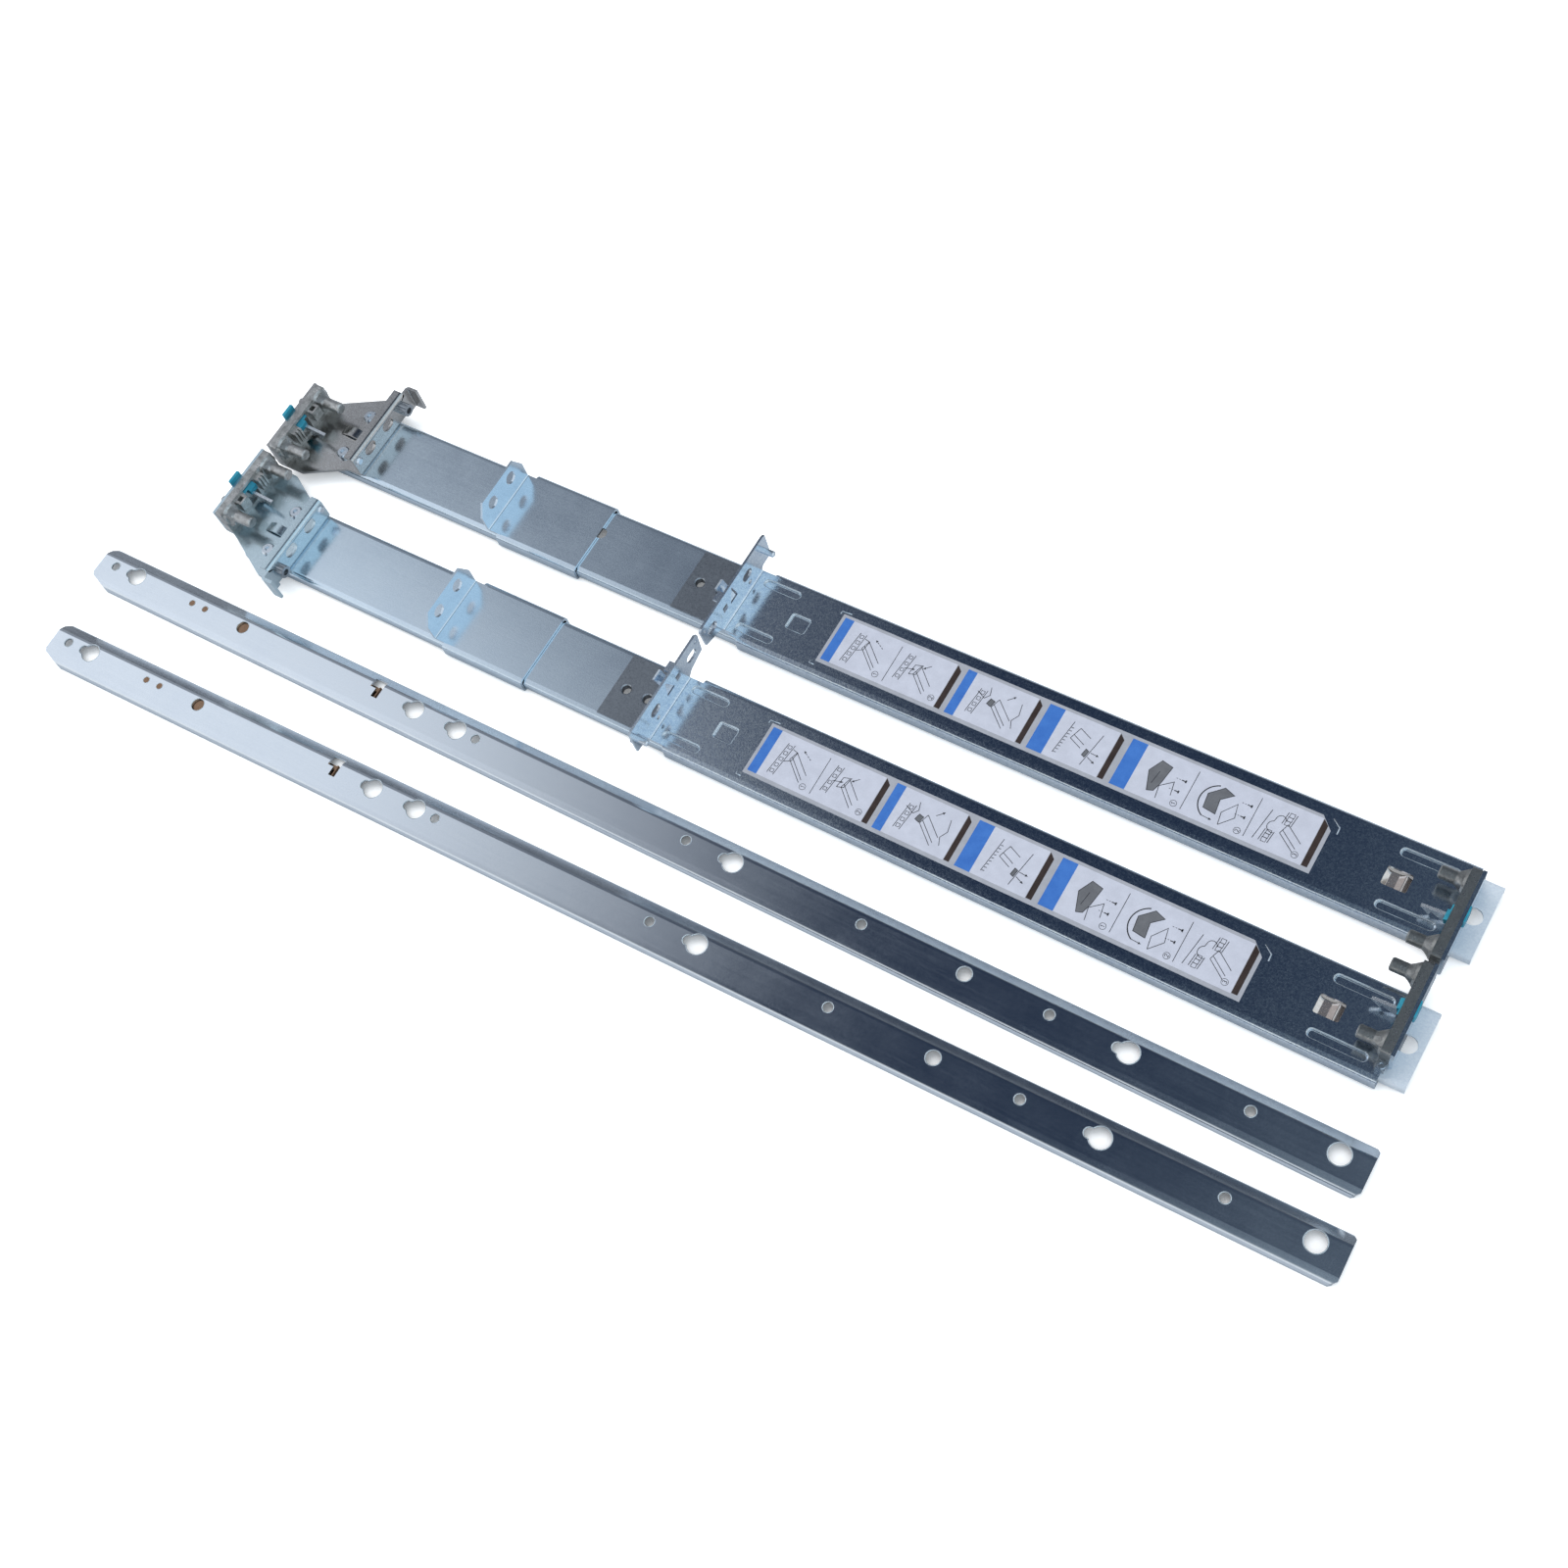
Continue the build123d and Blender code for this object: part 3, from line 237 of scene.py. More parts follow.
class PatternLibrary:
    """Node groups for the surface effects that several finishes share.

    Each reads a vector and some numbers, and puts out a mask and a height. The constants are
    the octaves and the roughness of each one's noise.
    """

    grain_noise = (2.0, 0.6)
    line_noise = (3.0, 0.6)
    patch_noise = (4.0, 0.62)
    patch_range = (0.32, 0.68)

    def __init__(self) -> None:
        """Build every group once."""
        self.crystals = self._crystals()
        self.streaks = self._streaks()
        self.blotches = self._blotches()

    @staticmethod
    def _start(name: str, **numbers: float) -> tuple[Graph, Node]:
        """Make an empty group with its sockets, and give its graph and its input node."""
        sockets = bpy.data.node_groups.new(name, "ShaderNodeTree").interface
        sockets.new_socket("Vector", in_out="INPUT", socket_type="NodeSocketVector")
        for label, value in numbers.items():
            number = sockets.new_socket(label, in_out="INPUT", socket_type="NodeSocketFloat")
            number.default_value = value
        for label in ("Mask", "Height"):
            sockets.new_socket(label, in_out="OUTPUT", socket_type="NodeSocketFloat")
        graph = Graph(bpy.data.node_groups[name])
        return graph, graph.add("NodeGroupInput")

    @staticmethod
    def _end(graph: Graph, mask: Socket, height: Socket) -> bpy.types.NodeTree:
        """Put a mask and a height out of a group, and give its tree."""
        end = graph.add("NodeGroupOutput")
        graph.join(mask, end.inputs["Mask"])
        graph.join(height, end.inputs["Height"])
        return graph.tree

    def _crystals(self) -> bpy.types.NodeTree:
        """Fine sparkle of plating: small cells of differing brightness with grain between."""
        graph, start = self._start("plating_crystals", Size=900.0)
        cells = graph.add("ShaderNodeTexVoronoi")
        graph.join(start.outputs["Vector"], cells.inputs["Vector"])
        graph.join(start.outputs["Size"], cells.inputs["Scale"])
        shade = graph.add("ShaderNodeSeparateColor")
        graph.join(cells.outputs["Color"], shade.inputs[0])
        fine = graph.noise(start.outputs["Vector"], start.outputs["Size"], *self.grain_noise)
        mask = graph.maths("MULTIPLY", graph.maths("ADD", shade.outputs[0], fine), 0.5)
        return self._end(graph, mask, fine)

    def _streaks(self) -> bpy.types.NodeTree:
        """Rolling lines along x: noise whose x is stretched."""
        graph, start = self._start("rolling_streaks", Fineness=900.0, Stretch=0.02)
        apart = graph.add("ShaderNodeSeparateXYZ")
        graph.join(start.outputs["Vector"], apart.inputs[0])
        along = graph.maths("MULTIPLY", apart.outputs["X"], start.outputs["Stretch"])
        joined = graph.add("ShaderNodeCombineXYZ")
        for axis, source in zip("XYZ", (along, apart.outputs["Y"], apart.outputs["Z"])):
            graph.join(source, joined.inputs[axis])
        lines = graph.noise(joined.outputs[0], start.outputs["Fineness"], *self.line_noise)
        return self._end(graph, lines, lines)

    def _blotches(self) -> bpy.types.NodeTree:
        """Broad uneven patches, as handling and passivation leave them."""
        graph, start = self._start("uneven_patches", Size=40.0)
        broad = graph.noise(start.outputs["Vector"], start.outputs["Size"], *self.patch_noise)
        return self._end(graph, graph.remap(broad, self.patch_range), broad)

    @staticmethod
    def use(graph: Graph, tree: bpy.types.NodeTree, vector: Socket, **values: float) -> Node:
        """Place a group in a material.

        Args:
            graph: The material's graph.
            tree: The group.
            vector: Coordinates for it.
            **values: Numbers for its named inputs.

        Returns:
            The group node.
        """
        node = graph.add("ShaderNodeGroup", node_tree=tree)
        graph.join(vector, node.inputs["Vector"])
        for name, value in values.items():
            graph.join(value, node.inputs[name])
        return node


@dataclass(frozen=True)
class Finish:
    """A material between two colours. Its kind works out the surface."""

    name: str
    low: Colour
    high: Colour
    roughness: Pair
    bump: float
    metallic: float
    bump_depth: float = field(default=0.00006, kw_only=True)

    mask_range = (0.2, 0.8)

    def surface(self, graph: Graph, patterns: PatternLibrary, where: Socket) -> tuple[Socket, ...]:
        """Work the surface out.

        Args:
            graph: The material's graph.
            patterns: The shared node groups.
            where: The Object coordinates.

        Returns:
            The mask of the colours, the mask of the roughness and the height.
        """
        raise NotImplementedError

    def build(self, patterns: PatternLibrary) -> bpy.types.Material:
        """Build the material.

        Args:
            patterns: The shared node groups.

        Returns:
            The finished material.
        """
        material = bpy.data.materials.new(self.name)
        material.use_nodes = True
        graph = Graph(material.node_tree)
        shader = graph.add("ShaderNodeBsdfPrincipled")
        output = graph.add("ShaderNodeOutputMaterial")
        where = graph.add("ShaderNodeTexCoord").outputs["Object"]
        colours, dulling, height = self.surface(graph, patterns, where)
        bump = graph.add("ShaderNodeBump")
        graph.join(graph.blend(colours, self.low, self.high), shader.inputs["Base Color"])
        rough = graph.remap(dulling, self.mask_range, self.roughness)
        graph.join(rough, shader.inputs["Roughness"])
        graph.join(self.metallic, shader.inputs["Metallic"])
        graph.join(self.bump, bump.inputs["Strength"])
        graph.join(self.bump_depth, bump.inputs["Distance"])
        graph.join(height, bump.inputs["Height"])
        graph.join(bump.outputs[0], shader.inputs["Normal"])
        graph.join(shader.outputs[0], output.inputs["Surface"])
        return material


@dataclass(frozen=True)
class PlatedFinish(Finish):
    """Zinc plated or bright steel: crystals, rolling lines and broad patches on a metal.

    The crystals have a size in features per metre and a share, and the lines have a share. The
    patches get the rest.
    """

    crystals: Pair
    streak_share: float

    streak_fineness = 900.0
    streak_stretch = 0.02
    patch_size = 45.0

    def surface(self, graph: Graph, patterns: PatternLibrary, where: Socket) -> tuple[Socket, ...]:
        """All three make the mask. The crystals and the lines stand up."""
        size, share = self.crystals
        crystals = patterns.use(graph, patterns.crystals, where, Size=size)
        streaks = patterns.use(graph, patterns.streaks, where,
                               Fineness=self.streak_fineness, Stretch=self.streak_stretch)
        patches = patterns.use(graph, patterns.blotches, where, Size=self.patch_size)
        lines = (streaks.outputs["Mask"], self.streak_share)
        broad = (patches.outputs["Mask"], 1.0 - share - self.streak_share)
        mask = graph.weighted((crystals.outputs["Mask"], share), lines, broad)
        return mask, mask, graph.weighted((crystals.outputs["Height"], 1.0), lines)


@dataclass(frozen=True)
class SkinFinish(Finish):
    """A skin that isn't plated: fine grain over broad patches.

    The grain has a size in features per metre and a share. The patches get the rest.
    """

    grain: Pair
    patch_size: float
    grain_dulls: bool = False
    patches_stand: bool = False

    def surface(self, graph: Graph, patterns: PatternLibrary, where: Socket) -> tuple[Socket, ...]:
        """Both make the mask, and the grain stands up. Its mask may dull, the patches may stand."""
        size, share = self.grain
        grain = patterns.use(graph, patterns.crystals, where, Size=size)
        patches = patterns.use(graph, patterns.blotches, where, Size=self.patch_size)
        broad = (patches.outputs["Mask"], 1.0 - share)
        mask = graph.weighted((grain.outputs["Mask"], share), broad)
        height = grain.outputs["Height"]
        if self.patches_stand:
            height = graph.maths("ADD", height, patches.outputs["Height"])
        return mask, grain.outputs["Mask"] if self.grain_dulls else mask, height


# In each row: name, dark and light colour, roughness, bump, metallic, the crystals' size and
# share, and the lines' share.
PLATED = {
    "sheet": ("blue_zinc_sheet", (0.44, 0.53, 0.68), (0.94, 1.0, 1.0), (0.12, 0.2),
              0.32, 1.0, (1500.0, 0.85), 0.05),
    "smooth": ("smooth_zinc_sheet", (0.56, 0.65, 0.74), (0.82, 0.92, 0.99), (0.14, 0.22),
               0.16, 1.0, (1500.0, 0.4), 0.3),
    "inner": ("clear_zinc_rail", (0.66, 0.71, 0.77), (0.88, 0.92, 0.96), (0.13, 0.21),
              0.1, 1.0, (1600.0, 0.3), 0.45),
    "plate": ("slide_plate_steel", (0.26, 0.28, 0.31), (0.52, 0.55, 0.58), (0.26, 0.4),
              0.3, 1.0, (1700.0, 0.8), 0.05),
    "lip": ("rubbed_zinc_lip", (0.68, 0.74, 0.82), (0.94, 0.97, 1.0), (0.4, 0.52),
            0.12, 0.2, (1500.0, 0.7), 0.1),
    "bright": ("bright_zinc_fastener", (0.55, 0.60, 0.66), (0.85, 0.90, 0.95), (0.18, 0.3),
               0.12, 1.0, (1600.0, 0.5), 0.1),
    "leaf": ("tinted_spring_steel", (0.74, 0.56, 0.46), (1.0, 0.92, 0.86), (0.07, 0.13),
             0.05, 0.85, (1800.0, 0.3), 0.6),
    "bronze": ("browned_rivet_steel", (0.16, 0.085, 0.05), (0.50, 0.32, 0.21), (0.2, 0.34),
               0.12, 1.0, (1800.0, 0.4), 0.1),
    "hook": ("ground_hook_steel", (0.62, 0.66, 0.70), (0.92, 0.95, 0.98), (0.22, 0.34),
             0.12, 0.8, (1600.0, 0.4), 0.3),
    # Paler steel for the beads that paint highlights on the press edges; the inner rails' rolled
    # hole rims use it too.
    "rim": ("rubbed_press_edge", (0.60, 0.68, 0.74), (0.90, 0.95, 0.98), (0.2, 0.3),
            0.12, 0.7, (1600.0, 0.4), 0.1),
    "left_bracket": ("brownish_bracket_steel", (0.38, 0.36, 0.34), (0.72, 0.71, 0.70), (0.14, 0.26),
                     0.3, 1.0, (1900.0, 0.7), 0.05),
    "right_bracket": ("bluish_bracket_steel", (0.42, 0.52, 0.57), (0.72, 0.84, 0.90), (0.16, 0.28),
                      0.3, 0.9, (1900.0, 0.6), 0.05),
}
# In each row: name, deep and pale colour of the label's film or of an ink on it.
PRINTED = {
    "film": ("label_film_border", (0.38, 0.38, 0.41), (0.47, 0.47, 0.51)),
    "panel": ("label_panel_ink", (0.57, 0.57, 0.64), (0.68, 0.68, 0.76)),
    "blue": ("label_blue_ink", (0.04, 0.15, 0.50), (0.07, 0.22, 0.62)),
    "brown": ("label_brown_ink", (0.028, 0.018, 0.015), (0.055, 0.035, 0.03)),
    "line": ("label_line_ink", (0.02, 0.02, 0.025), (0.05, 0.05, 0.055)),
    "shade": ("label_grey_ink", (0.13, 0.13, 0.14), (0.19, 0.19, 0.20)),
}
# What both castings share, what the moulding has, and what every print shares.
CAST = {"roughness": (0.46, 0.24), "bump": 0.5, "bump_depth": 0.00022, "grain": (1400.0, 0.45),
        "patch_size": 260.0, "patches_stand": True}
MOULDED = {"roughness": (0.34, 0.5), "bump": 0.25, "metallic": 0.0, "bump_depth": 0.00005,
           "grain": (3200.0, 0.0), "patch_size": 320.0, "grain_dulls": True}
FILM = {"roughness": (0.38, 0.52), "bump": 0.08, "metallic": 0.0, "bump_depth": 0.00003,
        "grain": (2400.0, 0.4), "patch_size": 180.0}
FINISHES: dict[str, Finish] = {
    **{short: PlatedFinish(*row) for short, row in PLATED.items()},
    # One metal in two copies: the front casting painted darker as shade, the rear casting painted
    # paler as light.
    "casting": SkinFinish("bare_die_casting", (0.17, 0.17, 0.165), (0.46, 0.455, 0.44),
                          metallic=0.92, **CAST),
    "rear_casting": SkinFinish("pale_die_casting", (0.24, 0.235, 0.225), (0.74, 0.73, 0.71),
                               metallic=0.88, **CAST),
    "button": SkinFinish("cyan_moulding", (0.008, 0.22, 0.33), (0.03, 0.33, 0.45), **MOULDED),
    **{short: SkinFinish(*row, **FILM) for short, row in PRINTED.items()},
}
# A word in a CAD node's name, and the finish that it gets. The first that fits counts.
NODE_FINISHES = (
    ("instruction_label", "film"), ("latch_button", "button"), ("rear_casting", "rear_casting"),
    ("casting", "casting"), ("nut", "plate"), ("latch_spring", "bright"), ("latch_hook", "hook"),
    ("lock_rivets", "bronze"), ("lock_spring", "bronze"), ("leaf_spring", "leaf"),
    ("extension_channel", "smooth"), ("sleeve", "smooth"), ("slide_plate", "plate"),
    ("track_lip", "lip"), ("screw", "bright"), ("pin", "bright"), ("stud", "bright"),
    ("inner_rail", "inner"),
)


class Finishes:
    def __init__(self, patterns: PatternLibrary) -> None:
        """Build the materials."""
        self.made = {short: finish.build(patterns) for short, finish in FINISHES.items()}

    def __getitem__(self, short: str) -> bpy.types.Material:
        """The material with a short name."""
        return self.made[short]

    def for_node(self, name: str) -> bpy.types.Material:
        """Choose a CAD node's finish by its name.

        Args:
            name: The node's name.

        Returns:
            Its material.
        """
        fitting = [short for word, short in NODE_FINISHES if word in name]
        return self[fitting[0] if fitting else "sheet"]


@dataclass
class MeshData:
    """Corner points and faces of a mesh while it is worked out."""

    points: np.ndarray
    faces: list[tuple[int, ...]]

    @staticmethod
    def joined(parts: list["MeshData"]) -> "MeshData":
        """Join several into one.

        Args:
            parts: The pieces to join.

        Returns:
            One mesh's data with every face.
        """
        faces: list[tuple[int, ...]] = []
        start = 0
        for part in parts:
            faces += [tuple(index + start for index in face) for face in part.faces]
            start += len(part.points)
        return MeshData(np.vstack([part.points for part in parts]), faces)


def link_new(name: str, data: bpy.types.ID) -> bpy.types.Object:
    """Make an object and put it in the scene.

    Args:
        name: The object's name.
        data: Its mesh, lamp or camera.

    Returns:
        The new object.
    """
    made = bpy.data.objects.new(name, data)
    bpy.context.scene.collection.objects.link(made)
    return made


def build_object(name: str, data: MeshData, material: bpy.types.Material, body: str,
                 smooth: bool = False) -> bpy.types.Object:
    """Make an object from mesh data, dress it and let it ride on a body.

    Args:
        name: The piece's name.
        data: Its points in metres and its faces.
        material: Its finish.
        body: The body that it moves with.
        smooth: Whether its faces shade smoothly.

    Returns:
        The new object.
    """
    mesh = bpy.data.meshes.new(name)
    mesh.from_pydata(data.points.tolist(), [], data.faces)
    mesh.polygons.foreach_set("use_smooth", np.full(len(mesh.polygons), smooth))
    mesh.materials.append(material)
    mesh.update()
    piece = link_new(name, mesh)
    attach(piece, body)
    LOG.info("%s: %d faces", name, len(data.faces))
    return piece


def at_height(flat: np.ndarray, height: float) -> np.ndarray:
    """Give rows of x, y a z that is the same for all."""
    return np.column_stack([flat, np.full(len(flat), height)])


def ribbon(path: np.ndarray, width: float, height: float) -> MeshData:
    """A flat drawn line.

    Its two sides are p(i) + n(i) w/2 and p(i) - n(i) w/2, where n(i) is the mean of the unit
    normals of the two runs that meet at p(i), made longer by 1/cos of half their angle.

    Args:
        path: Rows of x, y.
        width: The line's width.
        height: The z that it lies at.

    Returns:
        The line's mesh data, facing up.
    """
    runs = np.diff(path, axis=0)
    unit = runs / np.linalg.norm(runs, axis=1)[:, None]
    normal = np.column_stack([-unit[:, 1], unit[:, 0]])
    joint = np.vstack([normal[:1], normal[:-1] + normal[1:], normal[-1:]])
    joint /= np.maximum(np.linalg.norm(joint, axis=1), TINY)[:, None]
    reach = np.ones(len(path))
    reach[1:-1] = 1.0 / np.clip(np.sum(joint[1:-1] * normal[1:], axis=1), SHARPEST, 1.0)
    side = joint * (reach * width / 2)[:, None]
    points = at_height(np.vstack([path - side, path + side]), height)
    count = len(path)
    faces = [(i, i + 1, count + i + 1, count + i) for i in range(count - 1)]
    return MeshData(points, faces)


def patch(outline: np.ndarray, height: float) -> MeshData:
    """A flat filled outline, facing up.

    Args:
        outline: Rows of x, y round the edge.
        height: The z that it lies at.

    Returns:
        One face. It is turned over where its area is negative: half the sum of
        x(i) y(i+1) - x(i+1) y(i).
    """
    following = np.roll(outline, -1, axis=0)
    area = np.sum(outline[:, 0] * following[:, 1] - following[:, 0] * outline[:, 1])
    ordered = outline if area > 0 else outline[::-1]
    return MeshData(at_height(ordered, height), [tuple(range(len(ordered)))])


def arc(centre: Pair, radius: float, start: float, end: float, count: int) -> np.ndarray:
    """Points on an arc: centre + radius (cos a, sin a), with a from start to end in degrees.

    Args:
        centre: The arc's centre.
        radius: Its radius.
        start: First angle.
        end: Last angle.
        count: How many points.

    Returns:
        Rows of x, y.
    """
    angle = np.radians(np.linspace(start, end, count))
    return np.column_stack([centre[0] + radius * np.cos(angle), centre[1] + radius * np.sin(angle)])


@dataclass
class PanelDrawing:
    """One small picture on the label, drawn upright and then turned as the label is read.

    The picture's own u runs right and v runs up. On the label u is +y and v is -x, from the
    panel's lower left corner. A pair for the screw or the ring is a size and a weight.
    """

    corner: Pair
    height: float
    line: float = 0.3
    thin: float = 0.8
    rail_lines: tuple[float, ...] = (0.0, 0.35, 1.0)
    rail_slant: float = 0.35
    post_fall: float = 0.12
    hole_half: float = 0.26
    arrow_head: Pair = (1.3, 0.62)
    dash: float = 0.22
    dash_starts: tuple[float, ...] = (0.0, 0.36, 0.72)
    screw_head: Pair = (0.7, 2.2)
    screw_shank: Pair = (1.9, 1.6)
    screw_dashes: tuple[Pair, ...] = ((2.4, 3.1), (3.7, 4.4))
    ring: Pair = (1.5, 0.7)
    digit_weight: float = 0.9

    def __post_init__(self) -> None:
        """Start with nothing drawn."""
        self.strokes: list[MeshData] = []
        self.fills: list[MeshData] = []

    def turned(self, drawn: list[Pair] | np.ndarray) -> np.ndarray:
        """Turn picture points to label points: x = corner x - v, y = corner y + u."""
        flat = np.array(drawn, dtype=float)
        return np.column_stack([self.corner[0] - flat[:, 1], self.corner[1] + flat[:, 0]])

    def stroke(self, drawn: list[Pair] | np.ndarray, weight: float = 1.0) -> None:
        """Draw a line through points, with a weight that scales its width."""
        self.strokes.append(ribbon(self.turned(drawn), self.line * weight, self.height))

    def fill(self, drawn: list[Pair]) -> None:
        """Fill an outline with grey, and draw its edge."""
        self.fills.append(patch(self.turned(drawn), self.height - LAYER))
        self.stroke([*drawn, drawn[0]])

    def rails(self, foot: Pair, reach: Pair, gap: float) -> None:
        """Draw a rail as three slanted lines and an end line."""
        for step in self.rail_lines:
            start = (foot[0] + gap * step, foot[1] - self.rail_slant * gap * step)
            self.stroke([start, (start[0] + reach[0], start[1] + reach[1])])
        top = (foot[0] + reach[0], foot[1] + reach[1])
        self.stroke([top, (top[0] + gap, top[1] - self.rail_slant * gap)])

    def post(self, start: Pair, length: float, depth: float, holes: int) -> None:
        """Draw a rack post as a slanted strip with square holes."""
        slope = -self.post_fall * length
        for shift in (0.0, depth):
            end = (start[0] + length, start[1] + slope - shift)
            self.stroke([(start[0], start[1] - shift), end])
        side = depth * self.hole_half
        square = side * np.array([(-1, -1), (1, -1), (1, 1), (-1, 1), (-1, -1)])
        for share in (np.arange(holes) + 0.5) / holes:
            middle = (start[0] + length * share, start[1] + slope * share - depth / 2)
            self.stroke(square + middle, self.thin)

    def arrow(self, start: Pair, end: Pair, dashed: bool = False) -> None:
        """Draw an arrow, whole or dashed, with a filled head."""
        begin, tip = np.array(start), np.array(end)
        along = (tip - begin) / np.linalg.norm(tip - begin)
        across = np.array([-along[1], along[0]])
        length, half = self.arrow_head
        neck = tip - along * length
        if dashed:
            for share in self.dash_starts:
                first = begin + (neck - begin) * share
                self.stroke(np.array([first, first + (neck - begin) * self.dash]))
        else:
            self.stroke(np.array([begin, neck]))
        head = np.array([tip, neck + across * half, neck - across * half])
        self.strokes.append(patch(self.turned(head), self.height))

    def screw(self, head: Pair) -> None:
        """Draw a screw: a head, a short shank and a dashed line above it."""
        u, v = head
        half, weight = self.screw_head
        self.stroke([(u - half, v), (u + half, v)], weight)
        length, weight = self.screw_shank
        self.stroke([(u, v), (u, v + length)], weight)
        for low, high in self.screw_dashes:
            self.stroke([(u, v + low), (u, v + high)], self.thin)

    def number(self, at: Pair, digit: int) -> None:
        """Draw a plain number in a ring."""
        u, v = at
        shapes = {
            1: np.array([(u - 0.3, v + 0.5), (u + 0.1, v + 0.9), (u + 0.1, v - 0.9)]),
            2: np.vstack([arc((u, v + 0.4), 0.5, 170, -40, 8),
                          [(u - 0.5, v - 0.85), (u + 0.55, v - 0.85)]]),
            3: np.vstack([arc((u, v + 0.42), 0.45, 150, -75, 8),
                          arc((u, v - 0.42), 0.48, 75, -150, 8)]),
        }
        self.stroke(shapes[digit], self.digit_weight)
        radius, weight = self.ring
        self.stroke(arc((u, v), radius, 0, 360, 28), weight)


@dataclass
class LabelPrint:
    """Everything printed on one label: panels, bars, dividers, pictures and plain numbers."""

    frame: RailFrame
    top: float = 0.15
    panel_y: Pair = (-2.5, 21.7)
    panels: tuple[Pair, ...] = ((50.2, 110.4), (116.0, 152.2), (157.8, 192.6), (198.7, 287.8))
    bars: tuple[Pair, ...] = ((50.2, 55.0), (116.0, 120.6), (157.8, 165.4), (198.7, 206.0))
    dividers: tuple[Pair, ...] = ((110.6, 113.4), (152.4, 155.0), (192.8, 195.5), (288.0, 290.7))
    divider_inset: Pair = (0.3, 0.1)
    divider_point: float = 2.5
    hairlines: tuple[float, ...] = (82.4, 231.7, 260.9)
    hairline_width: float = 0.28
    hairline_inset: Pair = (1.9, 2.4)
    pages: tuple[float, ...] = (82.0, 110.2, 152.0, 192.2, 231.2, 260.5, 287.6)

    def strips(self, ranges: tuple[Pair, ...], layer: int, inset: Pair = (0.0, 0.0),
               point: float = 0.0) -> MeshData:
        """Filled strips across the panels.

        Args:
            ranges: Their x ranges.
            layer: The layer of print that they are.
            inset: How far their two ends stay inside the panels.
            point: How much shorter they are on their rear side.

        Returns:
            Their mesh data.
        """
        low, high = self.panel_y[0] + inset[0], self.panel_y[1] - inset[1]
        height = self.top + layer * LAYER
        return MeshData.joined([
            patch(np.array([(a, low), (b, low), (b, high - point), (a, high)]), height)
            for a, b in ranges
        ])

    def drawings(self) -> list[PanelDrawing]:
        """Seven generic pictures of a rail, a post, a bracket and screws.

        Returns:
            The finished pictures.
        """
        low = self.panel_y[0]
        pages = [PanelDrawing((x, low), self.top + 3 * LAYER) for x in self.pages]
        hold, press, pull, reach, lay, turn, done = pages
        hold.post((3.0, 23.0), 17.0, 3.2, 5)
        hold.rails((4.6, 7.0), (8.4, 9.6), 4.4)
        hold.arrow((16.6, 7.4), (19.6, 12.6), True)
        hold.stroke([(11.0, 18.6), (12.6, 15.6), (17.4, 14.8), (18.0, 17.6)])
        hold.number((3.6, 4.2), 1)
        press.rails((3.6, 8.0), (7.6, 8.4), 5.0)
        press.post((5.6, 24.4), 14.6, 3.0, 4)
        press.stroke([(10.4, 18.4), (15.8, 17.6), (16.8, 14.0), (11.4, 15.2), (10.4, 18.4)])
        press.arrow((12.4, 21.6), (13.6, 16.6))
        press.arrow((18.2, 10.4), (15.4, 13.4))
        press.number((3.8, 3.0), 2)
        pull.rails((3.4, 8.6), (7.8, 9.0), 5.0)
        pull.post((4.4, 27.6), 13.6, 3.2, 4)
        pull.fill([(11.2, 18.0), (14.4, 17.2), (15.0, 19.6), (12.0, 20.4)])
        pull.stroke([(16.2, 27.0), (14.0, 22.6), (16.4, 20.8), (20.2, 22.0)])
        pull.arrow((17.4, 12.6), (20.6, 9.4))
        pull.stroke([(5.2, 4.6), (9.0, 6.2), (12.6, 4.2), (18.4, 5.4)])
        reach.stroke([(3.0, 22.8), (20.6, 20.4)])
        for step in range(9):
            u = 3.4 + step * 1.75
            reach.stroke([(u, 22.4 - step * 0.24), (u + 0.2, 21.2 - step * 0.24)], 1.1)
        reach.rails((9.8, 12.4), (2.8, 6.2), 6.2)
        reach.stroke([(2.4, 9.0), (19.8, 5.8)])
        reach.fill([(6.6, 8.8), (10.0, 8.2), (10.6, 9.8), (7.2, 10.4)])
        reach.arrow((7.2, 7.6), (5.4, 3.4))
        reach.arrow((9.6, 7.2), (9.4, 3.0))
        lay.fill([(4.0, 16.4), (13.2, 19.6), (19.8, 16.2), (18.6, 10.8), (9.6, 12.2), (5.0, 13.6)])
        lay.stroke([(8.0, 16.0), (14.6, 15.0)])
        lay.stroke([(2.2, 11.4), (8.2, 12.4), (12.6, 7.2), (6.0, 6.0)])
        lay.screw((9.0, 3.6))
        lay.screw((14.8, 2.8))
        lay.number((3.2, 3.2), 1)
        turn.fill([(6.2, 14.4), (7.0, 20.4), (14.0, 21.2), (19.4, 15.6), (17.6, 10.6),
                   (13.4, 15.4)])
        turn.stroke([(2.2, 11.4), (8.2, 12.4), (14.6, 7.6), (8.0, 6.2), (2.2, 11.4)])
        turn.stroke(arc((11.0, 14.8), 9.0, 150, 20, 18), 1.8)
        turn.arrow((3.3, 19.2), (3.0, 14.6))
        turn.screw((10.0, 2.6))
        turn.screw((16.2, 2.0))
        turn.number((3.2, 2.9), 2)
        done.post((3.4, 20.4), 6.0, 4.0, 3)
        done.stroke([(3.0, 23.0), (18.6, 20.6)])
        done.stroke(np.vstack([arc((11.4, 17.0), 2.8, 200, 20, 12),
                               arc((15.6, 15.4), 2.2, 90, -80, 12)]))
        done.post((14.4, 14.6), 6.0, 4.0, 3)
        done.rails((4.0, 5.4), (6.0, 8.2), 5.0)
        done.number((3.4, 3.9), 3)
        return pages

